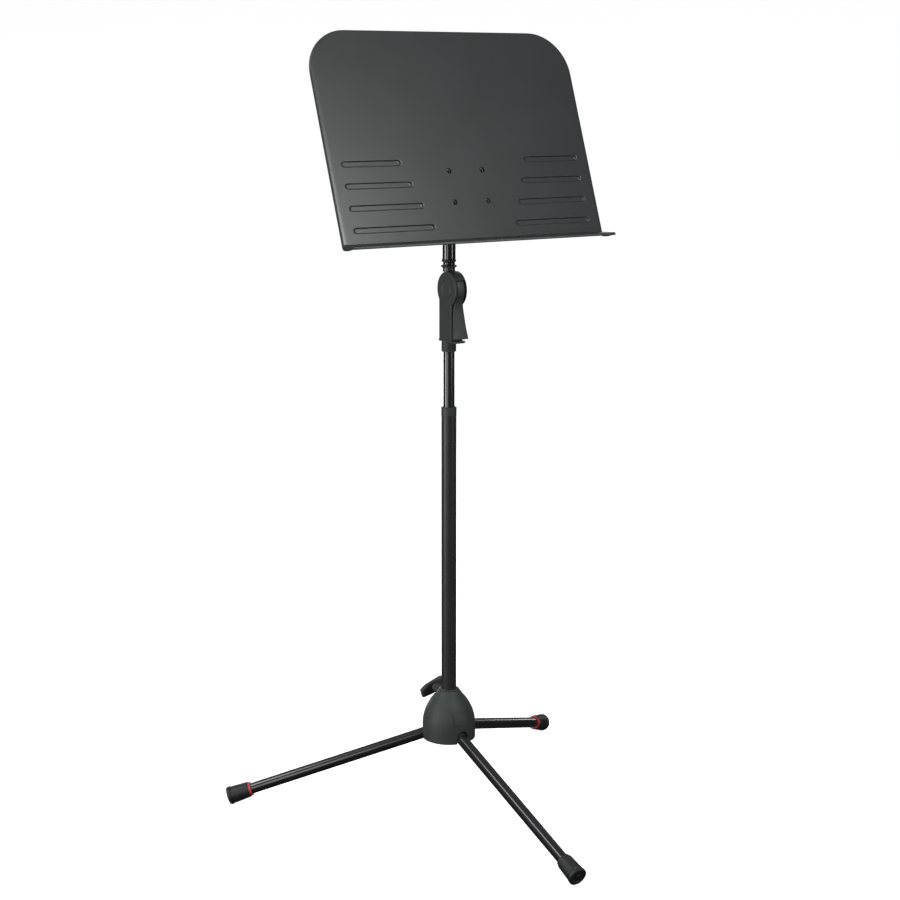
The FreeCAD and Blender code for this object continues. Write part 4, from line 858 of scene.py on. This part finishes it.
# Soft lights: name, place, aim, width and height in metres, watts
LIGHTS = (
    ("left_strip", (-2.3, 0.15, 0.5), (0, 0, 0.55), 0.5, 1.4, 34),
    ("right_strip", (1.15, -2.1, 0.85), (0, 0, 0.9), 0.3, 0.9, 9),
    ("key", (-1.45, -0.95, 0.6), (-0.1, 0, 0.5), 0.5, 0.9, 5),
    ("sheen", (0.42, -1.97, 2.05), (-0.24, -0.05, 1.05), 0.4, 0.35, 25),
    ("top", (-0.7, -0.7, 2.7), (-0.1, 0, 1.1), 0.7, 0.4, 9),
    ("left_high", (-1.5, 0.5, 1.95), (0, 0, 0.1), 0.9, 0.5, 12),
    ("far_low", (3.4, 1.9, 0.25), (0.2, 0.1, 0.1), 0.4, 0.5, 3),
    ("back", (1.6, 2.6, 2.2), (0, 0, 0.8), 1.2, 1.2, 12),
    ("back_low", (0.5, 3.0, 0.5), (0, 0, 1.0), 1.3, 1.0, 26),
)
CAMERA_LENS = 68.47
CAMERA_SENSOR = 36
CAMERA_PLACE = (-1.4531, -2.3436, 1.2096)
CAMERA_PITCH = 77.88
CAMERA_YAW = -31.84


def studio():
    """Pale floor that curves up far from the stand, and a sky that is brightest overhead.

    The camera sees the sky as plain white."""
    flat = FLOOR_REACH - FLOOR_SWEEP
    profile = [(0, 0), (600, 0), (2000, 0), (flat, 0)]
    for step in range(1, FLOOR_STEPS + 1):
        angle = QUARTER * step / FLOOR_STEPS
        profile.append((flat + FLOOR_SWEEP * math.sin(angle), FLOOR_SWEEP * (1 - math.cos(angle))))
    floor = turned("floor", profile, Matrix.Identity(4), 96, closed=False)
    paint = finish_material(
        "floor_paint", dark=(0.8, 0.8, 0.8), light=(0.82, 0.82, 0.82), patch=500,
        roughness=(0.85, 0.95), grain=30, depth=0.1, specular=0.1)
    shader = paint.node_tree.nodes["Principled BSDF"]
    shader.inputs["Emission Color"].default_value = (1, 1, 1, 1)
    shader.inputs["Emission Strength"].default_value = FLOOR_GLOW
    floor.data.materials.append(paint)
    floor.visible_diffuse = False
    floor.visible_glossy = False

    world = bpy.data.worlds.new("studio")
    bpy.context.scene.world = world
    world.use_nodes = True
    nodes = world.node_tree.nodes
    links = world.node_tree.links
    place = nodes.new("ShaderNodeTexCoord")
    split = nodes.new("ShaderNodeSeparateXYZ")
    links.new(place.outputs["Generated"], split.inputs["Vector"])
    sky = nodes.new("ShaderNodeValToRGB")
    sky.color_ramp.elements[0].position = 0.0
    sky.color_ramp.elements[0].color = (*SKY_LOW, 1)
    sky.color_ramp.elements[1].position = 1.0
    sky.color_ramp.elements[1].color = (*SKY_HIGH, 1)
    level = sky.color_ramp.elements.new(0.5)
    level.color = (*SKY_LEVEL, 1)
    height = nodes.new("ShaderNodeMapRange")
    height.inputs["From Min"].default_value = -1
    height.inputs["From Max"].default_value = 1
    links.new(split.outputs["Z"], height.inputs["Value"])
    links.new(height.outputs["Result"], sky.inputs["Fac"])
    graded = nodes["Background"]
    links.new(sky.outputs["Color"], graded.inputs["Color"])
    graded.inputs["Strength"].default_value = 1.0
    backdrop = nodes.new("ShaderNodeBackground")
    backdrop.inputs["Color"].default_value = (1, 1, 1, 1)
    seen = nodes.new("ShaderNodeLightPath")
    mix = nodes.new("ShaderNodeMixShader")
    links.new(seen.outputs["Is Camera Ray"], mix.inputs["Fac"])
    links.new(graded.outputs["Background"], mix.inputs[1])
    links.new(backdrop.outputs["Background"], mix.inputs[2])
    links.new(mix.outputs["Shader"], nodes["World Output"].inputs["Surface"])


def softbox(name, place, aim, width, height, power):
    """Rectangular soft light, which the camera doesn't see."""
    data = bpy.data.lights.new(name, "AREA")
    data.shape = "RECTANGLE"
    data.size = width
    data.size_y = height
    data.energy = power
    light = bpy.data.objects.new(name, data)
    light.location = place
    light.rotation_euler = (Vector(aim) - Vector(place)).to_track_quat("-Z", "Y").to_euler()
    light.visible_camera = False
    bpy.context.scene.collection.objects.link(light)


def camera():
    """Camera at the height of a standing person's chest, front left of the stand."""
    data = bpy.data.cameras.new("camera")
    data.lens = CAMERA_LENS
    data.sensor_width = CAMERA_SENSOR
    view = bpy.data.objects.new("camera", data)
    view.location = CAMERA_PLACE
    view.rotation_euler = (math.radians(CAMERA_PITCH), 0, math.radians(CAMERA_YAW))
    bpy.context.scene.collection.objects.link(view)
    bpy.context.scene.camera = view


studio()
for light in LIGHTS:
    softbox(*light)
camera()
bpy.context.scene.view_settings.view_transform = "Standard"
